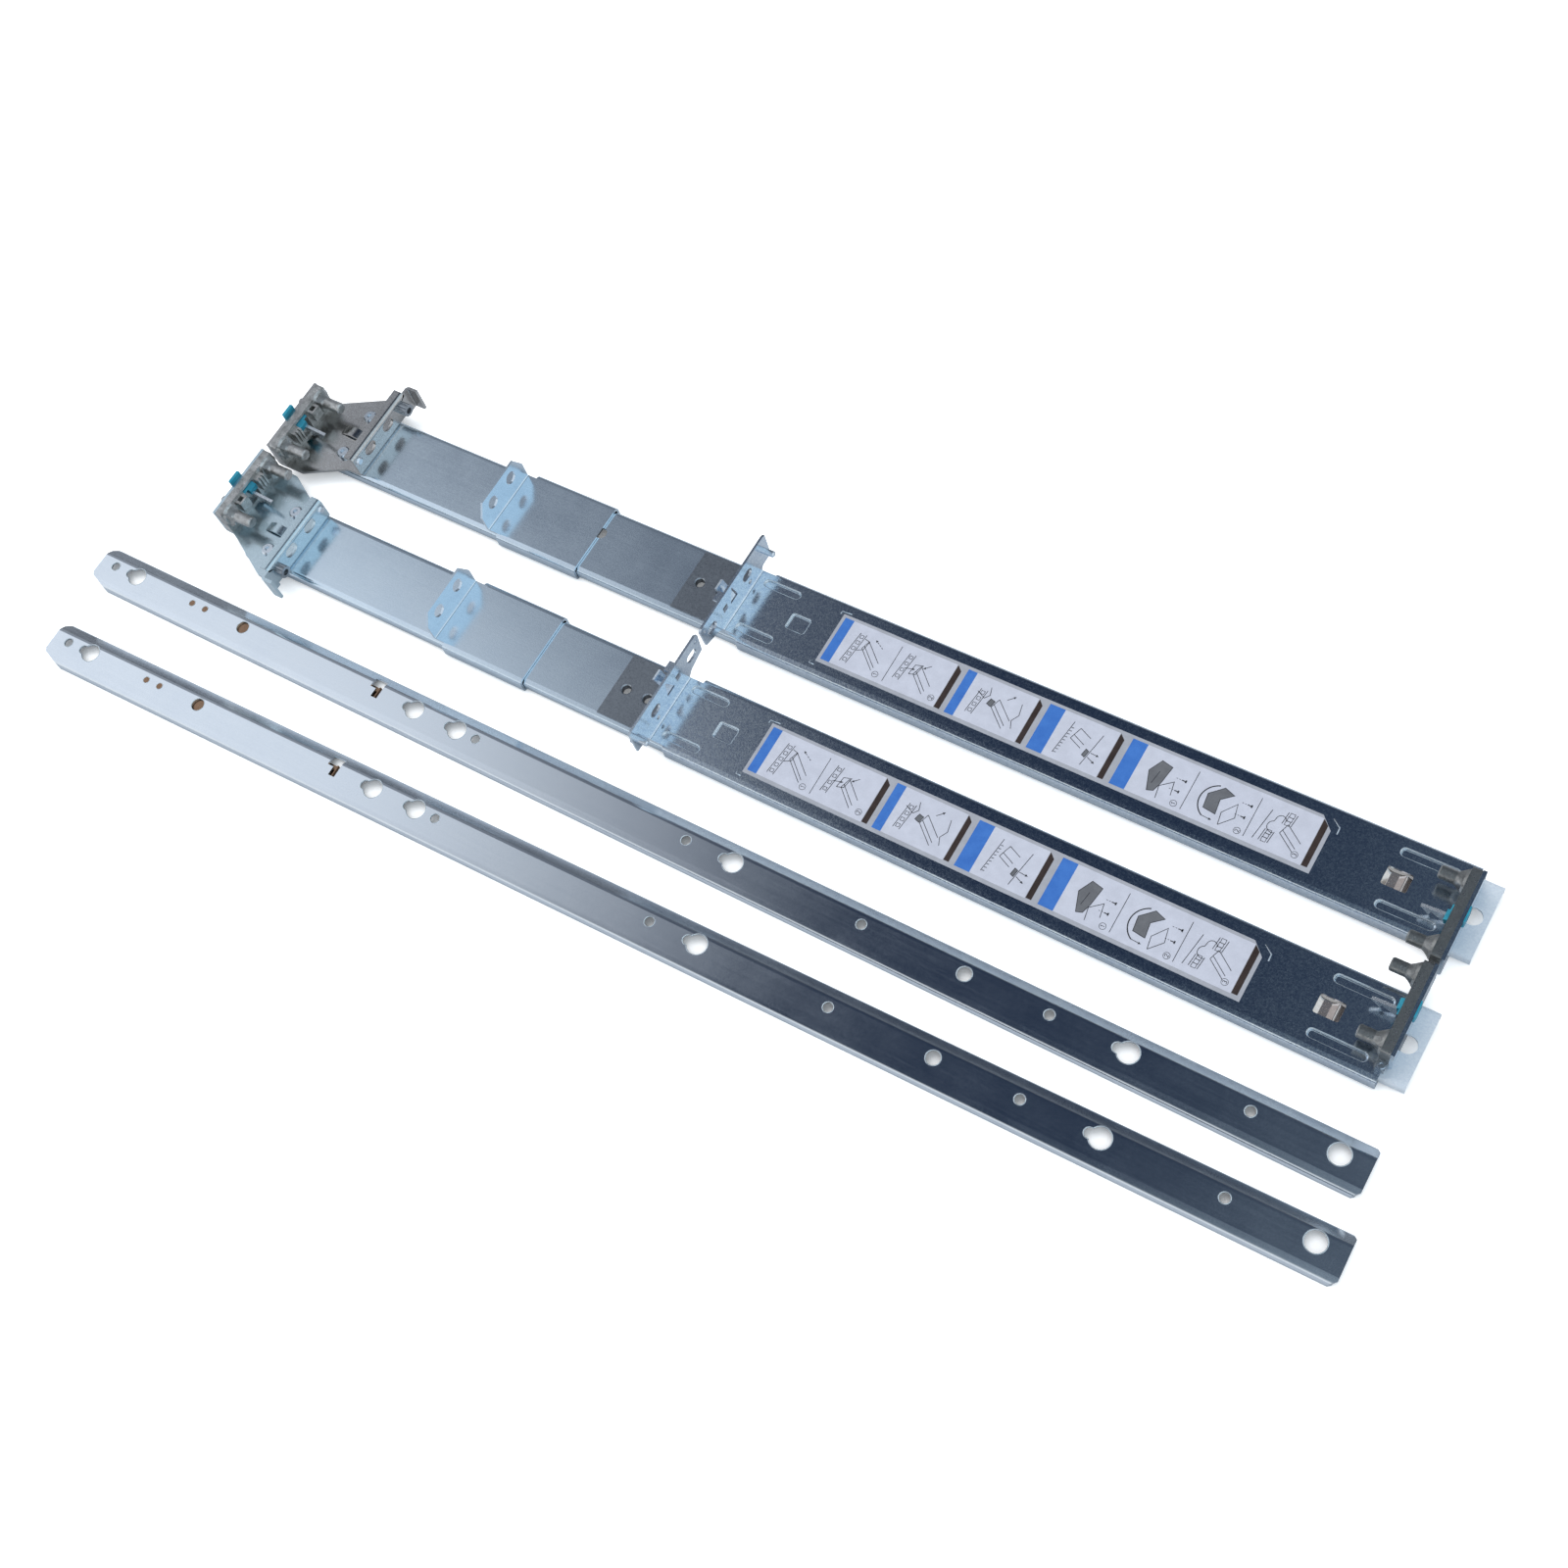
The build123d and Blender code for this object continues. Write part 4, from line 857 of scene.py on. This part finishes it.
    def add(self, finishes: Finishes) -> None:
        """Build the print's pieces.
        """
        hand = self.frame.hand.value
        pages = self.drawings()
        low = self.panel_y[0] + self.hairline_inset[0]
        high = self.panel_y[1] - self.hairline_inset[1]
        height = self.top + 3 * LAYER
        strokes = [ribbon(np.array([(x, low), (x, high)]), self.hairline_width, height)
                   for x in self.hairlines]
        strokes += [stroke for page in pages for stroke in page.strokes]
        fills = [fill for page in pages for fill in page.fills]
        dividers = self.strips(self.dividers, 2, self.divider_inset, self.divider_point)
        layers = (
            ("panels", self.strips(self.panels, 1), "panel"),
            ("bars", self.strips(self.bars, 2), "blue"),
            ("dividers", dividers, "brown"),
            ("shading", MeshData.joined(fills), "shade"),
            ("lines", MeshData.joined(strokes), "line"),
        )
        for name, data, ink in layers:
            placed = MeshData(self.frame.place_print(data.points), data.faces)
            build_object(f"{hand}_label_{name}", placed, finishes[ink], f"{hand}_outer_rail")


def tube(path: np.ndarray, radius: float, sides: int) -> MeshData:
    """A round bead along a path that lies level.

    A point is p(i) + r (n(i) cos a + k sin a), where n(i) is the level normal at p(i) and k
    points up. Each end is closed with one face.

    Args:
        path: Rows of x, y, z.
        radius: The bead's radius.
        sides: How many sides.

    Returns:
        The bead's mesh data, closed, facing out.
    """
    along = np.gradient(path, axis=0)
    along /= np.linalg.norm(along, axis=1)[:, None]
    level = np.column_stack([-along[:, 1], along[:, 0], np.zeros(len(path))])
    angle = np.linspace(0.0, 2.0 * np.pi, sides, endpoint=False)
    wide, tall = np.cos(angle)[None, :, None], np.sin(angle)[None, :, None]
    ring = level[:, None, :] * wide + np.array([0.0, 0.0, 1.0]) * tall
    points = (path[:, None, :] + radius * ring).reshape(-1, 3)
    rows = len(path)
    faces = [tuple(range(sides))]
    for i in range(rows - 1):
        for j in range(sides):
            here, after = i * sides, (j + 1) % sides
            faces.append((here + j, here + sides + j, here + sides + after, here + after))
    faces.append(tuple((rows - 1) * sides + j for j in reversed(range(sides))))
    return MeshData(points, faces)


def wires(lines: list[np.ndarray], height: float, radius: float, sides: int = 6) -> list[MeshData]:
    """A thin round bead along each of some flat lines.

    Args:
        lines: Rows of x, y for each line.
        height: The z that they lie at.
        radius: The beads' radius.
        sides: How many sides a bead has.

    Returns:
        Each bead's mesh data.
    """
    return [tube(at_height(line, height), radius, sides) for line in lines]


@dataclass
class StruckMarks:
    """The bright marks struck in the web round the label: a bent line and two corner ticks."""

    frame: RailFrame
    radius: float = 0.32
    sunk: float = 0.12
    sides: int = 8
    lines: tuple[tuple[Pair, ...], ...] = (
        ((291.4, 23.4), (295.3, 20.5), (295.4, 17.2)),
        ((52.0, 24.5), (46.9, 24.3), (46.8, 22.6)),
        ((46.6, -3.9), (46.5, -6.3), (49.0, -6.4)),
    )

    def add(self, finishes: Finishes) -> None:
        """Build the marks as one piece.
        """
        hand = self.frame.hand.value
        flat = [np.array(line) for line in self.lines]
        data = MeshData.joined(wires(flat, -self.sunk, self.radius, self.sides))
        placed = MeshData(self.frame.place_print(data.points), data.faces)
        build_object(f"{hand}_struck_marks", placed, finishes["bright"], f"{hand}_outer_rail",
                     True)


@dataclass
class PressedMarks:
    """The bright edges of the beads and of the square press in the web: pale beads that paint the
    highlights on the walls which face the light.
    """

    frame: RailFrame
    bead_width: float = 4.5
    beads: tuple[tuple[float, float, float], ...] = (
        (4.0, 24.6, -3.9), (4.0, 24.6, 22.6), (321.5, 347.6, -4.2), (321.5, 347.6, 21.9),
    )
    square: tuple[float, float, float, float] = (25.8, 36.3, 5.0, 13.8)
    square_corner: float = 1.4
    least_corner: float = 0.2
    # The direction, rear and far, of the walls that get a painted highlight.
    rubbed: Pair = (-0.5, 0.87)
    rim: tuple[float, float, float] = (0.0, 0.08, 0.13)
    slope: tuple[float, float, float] = (0.3, 0.38, 0.3)
    foot: tuple[float, float, float] = (0.85, 0.96, 0.16)

    def slot(self, low: float, high: float, y: float, shrink: float) -> np.ndarray:
        """A slot's outline: half a circle round each end's centre.

        Args:
            low: The slot's lowest x.
            high: Its highest x.
            y: Its middle line.
            shrink: How far the outline is moved in.

        Returns:
            Rows of x, y.
        """
        half = self.bead_width / 2
        return np.vstack([
            arc((high - half, y), half - shrink, -90, 90, 12),
            arc((low + half, y), half - shrink, 90, 270, 12),
        ])

    def press(self, shrink: float) -> np.ndarray:
        """The square press's outline: a quarter circle round each corner's centre.

        Args:
            shrink: How far the outline is moved in.

        Returns:
            Rows of x, y.
        """
        low_x, high_x, low_y, high_y = self.square
        reach = max(self.square_corner - shrink, self.least_corner)
        inset = reach + shrink
        left, right = low_x + inset, high_x - inset
        near, far = low_y + inset, high_y - inset
        corners = ((right, near), (right, far), (left, far), (left, near))
        starts = (-90, 0, 90, 180)
        return np.vstack([
            arc(corner, reach, start, start + 90, 6) for corner, start in zip(corners, starts)
        ])

    def outlines(self, shrink: float) -> list[np.ndarray]:
        """Every press's outline, moved in by a distance."""
        return [self.slot(*bead, shrink) for bead in self.beads] + [self.press(shrink)]

    def lit_part(self, outline: np.ndarray) -> np.ndarray:
        """The half of an outline with a painted highlight on its wall: its far side and rear end.

        A point is kept where the outward normal (t y, -t x) of its tangent t points along the lit
        direction, whose y is turned round on the mirrored rail. The ring is turned first so that
        the kept points follow each other.

        Args:
            outline: Rows of x, y, anticlockwise.

        Returns:
            The kept rows.
        """
        tangent = np.roll(outline, -1, axis=0) - np.roll(outline, 1, axis=0)
        normal = np.column_stack([tangent[:, 1], -tangent[:, 0]])
        rear, far = self.rubbed
        kept = normal @ np.array([rear, far if self.frame.hand is Hand.LEFT else -far]) > 0.0
        first = int(np.flatnonzero(kept & ~np.roll(kept, 1))[0])
        return np.roll(outline, -first, axis=0)[np.roll(kept, -first)]

    def lines(self) -> MeshData:
        """A thin rim round every press, and a wide and a thin line down its lit walls, all pale
        beads that paint highlights.

        Returns:
            Their mesh data.
        """
        shrink, sunk, radius = self.rim
        closed = [np.vstack([outline, outline[:1]]) for outline in self.outlines(shrink)]
        beads = wires(closed, -sunk, radius)
        for shrink, sunk, radius in (self.slope, self.foot):
            parts = [self.lit_part(outline) for outline in self.outlines(shrink)]
            beads += wires(parts, -sunk, radius)
        return MeshData.joined(beads)

    def add(self, finishes: Finishes) -> None:
        """Build the lines as one piece.
        """
        hand = self.frame.hand.value
        data = self.frame.placed(self.lines())
        build_object(f"{hand}_painted_press_highlights", data, finishes["rim"], f"{hand}_outer_rail",
                     True)


@dataclass
class HoleRims:
    """The pale rolled rims round the holes and keyholes of an inner rail.

    place is the rail's x and y in millimetres and its turn t in degrees: a point p of the rail
    goes to (x, y) + (px cos t - py sin t, px sin t + py cos t).
    """

    name: str
    place: tuple[float, float, float]
    top: float = 5.1
    round_holes: tuple[Pair, ...] = (
        (-318.4, 2.5), (-80.9, 2.5), (40.3, 2.5), (132.7, 2.5), (224.4, 2.5), (314.8, 2.5),
        (-229.8, 3.5), (183.9, 3.5), (352.6, 4.85), (-264.4, 1.8), (-255.6, 1.8),
    )
    keyholes: tuple[float, ...] = (-303.0, -118.2, -92.3, 65.6, 260.8)
    keyhole: tuple[float, float, float] = (5.0, 2.5, 4.9)
    rim: float = 0.28
    sunk_share: float = 0.6
    steps: int = 32

    def keyhole_outline(self, x: float) -> np.ndarray:
        """A keyhole's outline: its round part, then the end of its slot.

        The slot's sides meet the circle at the angle a with sin a = slot half / radius.

        Args:
            x: The place of the round part's middle.

        Returns:
            Rows of x, y, closed.
        """
        radius, half, reach = self.keyhole
        open_angle = math.degrees(math.asin(half / radius))
        wide = arc((x, 0.0), radius, -180.0 + open_angle, 180.0 - open_angle, self.steps)
        narrow = arc((x - reach, 0.0), half, 90.0, 270.0, self.steps // 2)
        return np.vstack([wide, narrow, wide[:1]])

    def add(self, finishes: Finishes) -> None:
        """Build the rims as one piece.
        """
        outlines = [arc((x, 0.0), radius, 0.0, 360.0, self.steps) for x, radius in self.round_holes]
        outlines += [self.keyhole_outline(x) for x in self.keyholes]
        level = self.top - self.rim * self.sunk_share
        data = MeshData.joined(wires(outlines, level, self.rim))
        x, y, turn = self.place
        cosine, sine = math.cos(math.radians(turn)), math.sin(math.radians(turn))
        rotation = np.array([[cosine, sine, 0.0], [-sine, cosine, 0.0], [0.0, 0.0, 1.0]])
        turned = data.points @ rotation
        placed = MeshData((turned + (x, y, 0.0)) * MM, data.faces)
        build_object(f"{self.name}_hole_rims", placed, finishes["rim"], f"{self.name}_set",
                     True)


@dataclass
class ReshapedCopy:
    """A copy of a solid's own surface with some of its points moved, shown in its place.

    Corners that lie in the same place, to same_place decimals of a metre, become one. Edges
    sharper than sharp degrees stay sharp.
    """

    frame: RailFrame

    same_place = 7
    sharp = 30.0

    def reshape(self, points: np.ndarray) -> int:
        """Move points in place.

        Args:
            points: Rows of x, y, z in the rail's own millimetres.

        Returns:
            How many points were moved.
        """
        raise NotImplementedError

    def add(self, node: bpy.types.Object, material: bpy.types.Material, body: str,
            slot: str) -> None:
        """Build the copy over the node that it replaces.

        Args:
            node: The solid's object.
            material: The copy's finish.
            body: The body that it moves with, without the hand.
            slot: A material slot's name; not used.
        """
        flat = np.empty(len(node.data.vertices) * 3)
        node.data.vertices.foreach_get("co", flat)
        corners = np.empty(len(node.data.loops), dtype=int)
        node.data.loops.foreach_get("vertex_index", corners)
        rounded = np.round(flat.reshape(-1, 3), self.same_place)
        places, shared = np.unique(rounded, axis=0, return_inverse=True)
        points = self.frame.local(places)
        moved = self.reshape(points)
        triangles = shared.reshape(-1)[corners].reshape(-1, 3)
        data = MeshData(self.frame.place(points), [tuple(row) for row in triangles.tolist()])
        rides_on = f"{self.frame.hand.value}_{body}"
        copy = build_object(f"{node.name}_reshaped", data, material, rides_on, True)
        copy.data.set_sharp_from_angle(angle=math.radians(self.sharp))
        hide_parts(node.name)
        LOG.info("%s: %d points moved", node.name, moved)


@dataclass
class RearBracketSheet(ReshapedCopy):
    """The rear bracket's sheet with its front upstand as low as it really stands."""

    upstand_x: Pair = (-231.0, -223.0)
    above: float = 11.2
    drop: float = 3.0
    stud_y: float = -6.4
    stud_hole: Pair = (2.0, 9.0)

    def reshape(self, points: np.ndarray) -> int:
        """Move the upstand's points over the slots down by drop, and the stud's hole with them."""
        low, high = self.upstand_x
        reach, bottom = self.stud_hole
        hole = (np.abs(points[:, 1] - self.stud_y) < reach) & (points[:, 2] > bottom)
        moved = (points[:, 0] > low) & (points[:, 0] < high) & (hole | (points[:, 2] > self.above))
        points[moved, 2] -= self.drop
        return int(moved.sum())


@dataclass
class LocatingStud(ReshapedCopy):
    """The locating stud, as low as the upstand that holds it."""

    drop: float = RearBracketSheet.drop

    def reshape(self, points: np.ndarray) -> int:
        """Move every point down by drop."""
        points[:, 2] -= self.drop
        return len(points)


@dataclass
class FrontButton(ReshapedCopy):
    """The front release button, whose knob stands out less than its solid's."""

    knob: float = 3.2
    share: float = 0.35

    def reshape(self, points: np.ndarray) -> int:
        """Press the part before k, knob behind the front, back: x becomes k + (x - k) share."""
        knee = points[:, 0].max() - self.knob
        moved = points[:, 0] > knee
        points[moved, 0] = knee + (points[moved, 0] - knee) * self.share
        return int(moved.sum())


@dataclass
class Studio:
    """White floor, gradient surroundings, one soft sun and the camera of the photograph.

    A name with _x, _y or _z holds the part of a direction at which a light starts to come up,
    and the part at which it is whole.
    """

    camera_place: Place = (0.382648734, -0.271624528, 0.800105787)
    right: Place = (0.841985497, 0.506799253, -0.184972807)
    down: Place = (0.38941941, -0.808207961, -0.441760586)
    forward: Place = (-0.37338043, 0.299924006, -0.877856848)
    lens: float = 45.75275
    sensor: float = 36.0
    clip: Pair = (0.01, 50.0)
    floor_half: float = 12.0
    floor_lit: Colour = (0.8, 0.8, 0.8)
    floor_mirrored: Colour = (0.34, 0.37, 0.41)
    shade_reach: float = 0.014
    shade_samples: int = 4
    glow: float = 0.95
    mirrored_share: float = 0.24
    sun_energy: float = 1.5
    sun_spread: float = 40.0
    sun_turn: Pair = (-14.0, -18.0)
    overhead: Colour = (0.021, 0.034, 0.064)
    left_light: Colour = (0.86, 0.92, 1.0)
    right_light: Colour = (0.72, 0.88, 1.0)
    horizon: Colour = (0.93, 0.97, 1.0)
    behind_dark: Colour = (0.06, 0.07, 0.09)
    horizon_z: Pair = (0.5, 0.12)
    left_x: Pair = (-0.34, -0.54)
    left_y: Pair = (0.25, 0.33)
    right_x: Pair = (-0.15, 0.33)
    right_y: Pair = (0.1, 0.24)
    far_right_x: Pair = (0.12, 0.4)
    box_fade: Pair = (1.0, 0.3)
    behind_y: Pair = (0.45, 0.75)
    behind_x: Pair = (0.1, -0.4)
    behind_share: Pair = (0.9, 0.94)

    def add_camera(self) -> None:
        """Set the camera where the photograph was taken from."""
        data = bpy.data.cameras.new("camera")
        data.lens = self.lens
        data.sensor_width = self.sensor
        data.sensor_fit = "HORIZONTAL"
        data.clip_start, data.clip_end = self.clip
        camera = link_new("camera", data)
        turn = np.column_stack([self.right, -np.array(self.down), -np.array(self.forward)])
        placed = np.eye(4)
        placed[:3, :3] = turn
        placed[:3, 3] = self.camera_place
        camera.matrix_world = Matrix(placed.tolist())
        bpy.context.scene.camera = camera

    def add_floor(self) -> None:
        half = self.floor_half
        mesh = bpy.data.meshes.new("floor")
        corners = [(-half, -half, 0), (half, -half, 0), (half, half, 0), (-half, half, 0)]
        mesh.from_pydata(corners, [], [(0, 1, 2, 3)])
        floor = link_new("floor", mesh)
        material = bpy.data.materials.new("white_floor")
        material.use_nodes = True
        graph = Graph(material.node_tree)
        matt = graph.add("ShaderNodeBsdfDiffuse")
        glow = graph.add("ShaderNodeEmission")
        rays = graph.add("ShaderNodeLightPath")
        grey = graph.blend(rays.outputs["Is Glossy Ray"], self.floor_lit, self.floor_mirrored)
        graph.join(grey, matt.inputs["Color"])
        mirrored = graph.maths("MULTIPLY", rays.outputs["Is Glossy Ray"], self.mirrored_share)
        seen = graph.maths("MAXIMUM", rays.outputs["Is Camera Ray"], mirrored)
        shown = graph.maths("MAXIMUM", seen, rays.outputs["Is Transmission Ray"])
        # Painted shade: the floor's glow is dimmed where the rails shut it in, under and beside
        # them.
        shut_in = graph.add("ShaderNodeAmbientOcclusion", samples=self.shade_samples)
        graph.join(self.shade_reach, shut_in.inputs["Distance"])
        open_share = graph.maths("MULTIPLY", shown, shut_in.outputs["AO"])
        graph.join(graph.maths("MULTIPLY", open_share, self.glow), glow.inputs["Strength"])
        both = graph.add("ShaderNodeAddShader")
        graph.join(matt.outputs[0], both.inputs[0])
        graph.join(glow.outputs[0], both.inputs[1])
        output = graph.add("ShaderNodeOutputMaterial")
        graph.join(both.outputs[0], output.inputs["Surface"])
        mesh.materials.append(material)

    def add_surroundings(self) -> None:
        """White at the horizon, boxes left and right, dark blue overhead, white to the camera."""
        world = bpy.data.worlds.new("studio")
        bpy.context.scene.world = world
        world.use_nodes = True
        graph = Graph(world.node_tree)
        where = graph.add("ShaderNodeTexCoord")
        apart = graph.add("ShaderNodeSeparateXYZ")
        graph.join(where.outputs["Generated"], apart.inputs[0])
        x, y, z = (apart.outputs[axis] for axis in "XYZ")
        left_box = graph.maths("MULTIPLY", graph.remap(x, self.left_x),
                               graph.remap(y, self.left_y, self.box_fade))
        near_right = graph.maths("MULTIPLY", graph.remap(x, self.right_x),
                                 graph.remap(y, self.right_y, self.box_fade))
        right_box = graph.maths("MAXIMUM", near_right, graph.remap(x, self.far_right_x))
        left_side = graph.blend(left_box, self.overhead, self.left_light)
        both_sides = graph.blend(right_box, left_side, self.right_light)
        behind = graph.maths("MULTIPLY", graph.remap(y, self.behind_y),
                             graph.remap(x, self.behind_x, self.behind_share))
        low_down = graph.blend(behind, self.horizon, self.behind_dark)
        light = graph.add("ShaderNodeBackground")
        colour = graph.blend(graph.remap(z, self.horizon_z), both_sides, low_down)
        graph.join(colour, light.inputs["Color"])
        white = graph.add("ShaderNodeBackground")
        graph.join((1.0, 1.0, 1.0), white.inputs["Color"])
        rays = graph.add("ShaderNodeLightPath")
        chosen = graph.add("ShaderNodeMixShader")
        graph.join(rays.outputs["Is Camera Ray"], chosen.inputs[0])
        graph.join(light.outputs[0], chosen.inputs[1])
        graph.join(white.outputs[0], chosen.inputs[2])
        output = graph.add("ShaderNodeOutputWorld")
        graph.join(chosen.outputs[0], output.inputs["Surface"])

    def add_sun(self) -> None:
        """Hang one broad soft lamp up and to the left."""
        data = bpy.data.lights.new("soft_sun", "SUN")
        data.energy = self.sun_energy
        data.angle = math.radians(self.sun_spread)
        lamp = link_new("soft_sun", data)
        lamp.rotation_euler = (*np.radians(self.sun_turn), 0.0)
        lamp.visible_glossy = False

    def add(self) -> None:
        """Build the whole studio."""
        self.add_floor()
        self.add_surroundings()
        self.add_sun()
        self.add_camera()
        bpy.context.scene.view_settings.view_transform = "Standard"
        LOG.info("studio ready")


def main() -> None:
    """Load the frame, dress it, add the pieces and build the studio."""
    logging.basicConfig(level=logging.INFO)
    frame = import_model()
    finishes = Finishes(PatternLibrary())
    for name, node in frame["nodes"].items():
        material = finishes.for_node(name)
        for held in node.material_slots:
            held.material = material
        LOG.info("%s: %s", name, material.name)
    for hand in Hand:
        rail = RailFrame(hand)
        LabelPrint(rail).add(finishes)
        StruckMarks(rail).add(finishes)
        PressedMarks(rail).add(finishes)
        copies = (
            (RearBracketSheet, "rear_bracket", f"{hand.value}_bracket", "extension", "zinc_sheet"),
            (LocatingStud, "rear_locating_stud", "bright", "extension", "fastener"),
            (FrontButton, "front_latch_button", "button", "front_latch", "button"),
        )
        for kind, node, finish, body, slot in copies:
            solid = frame["nodes"][f"{hand.value}_{node}"]
            kind(rail).add(solid, finishes[finish], body, slot)
    for name, place in INNER_PLACES.items():
        HoleRims(name, place).add(finishes)
    Studio().add()


if __name__ == "__main__":
    main()
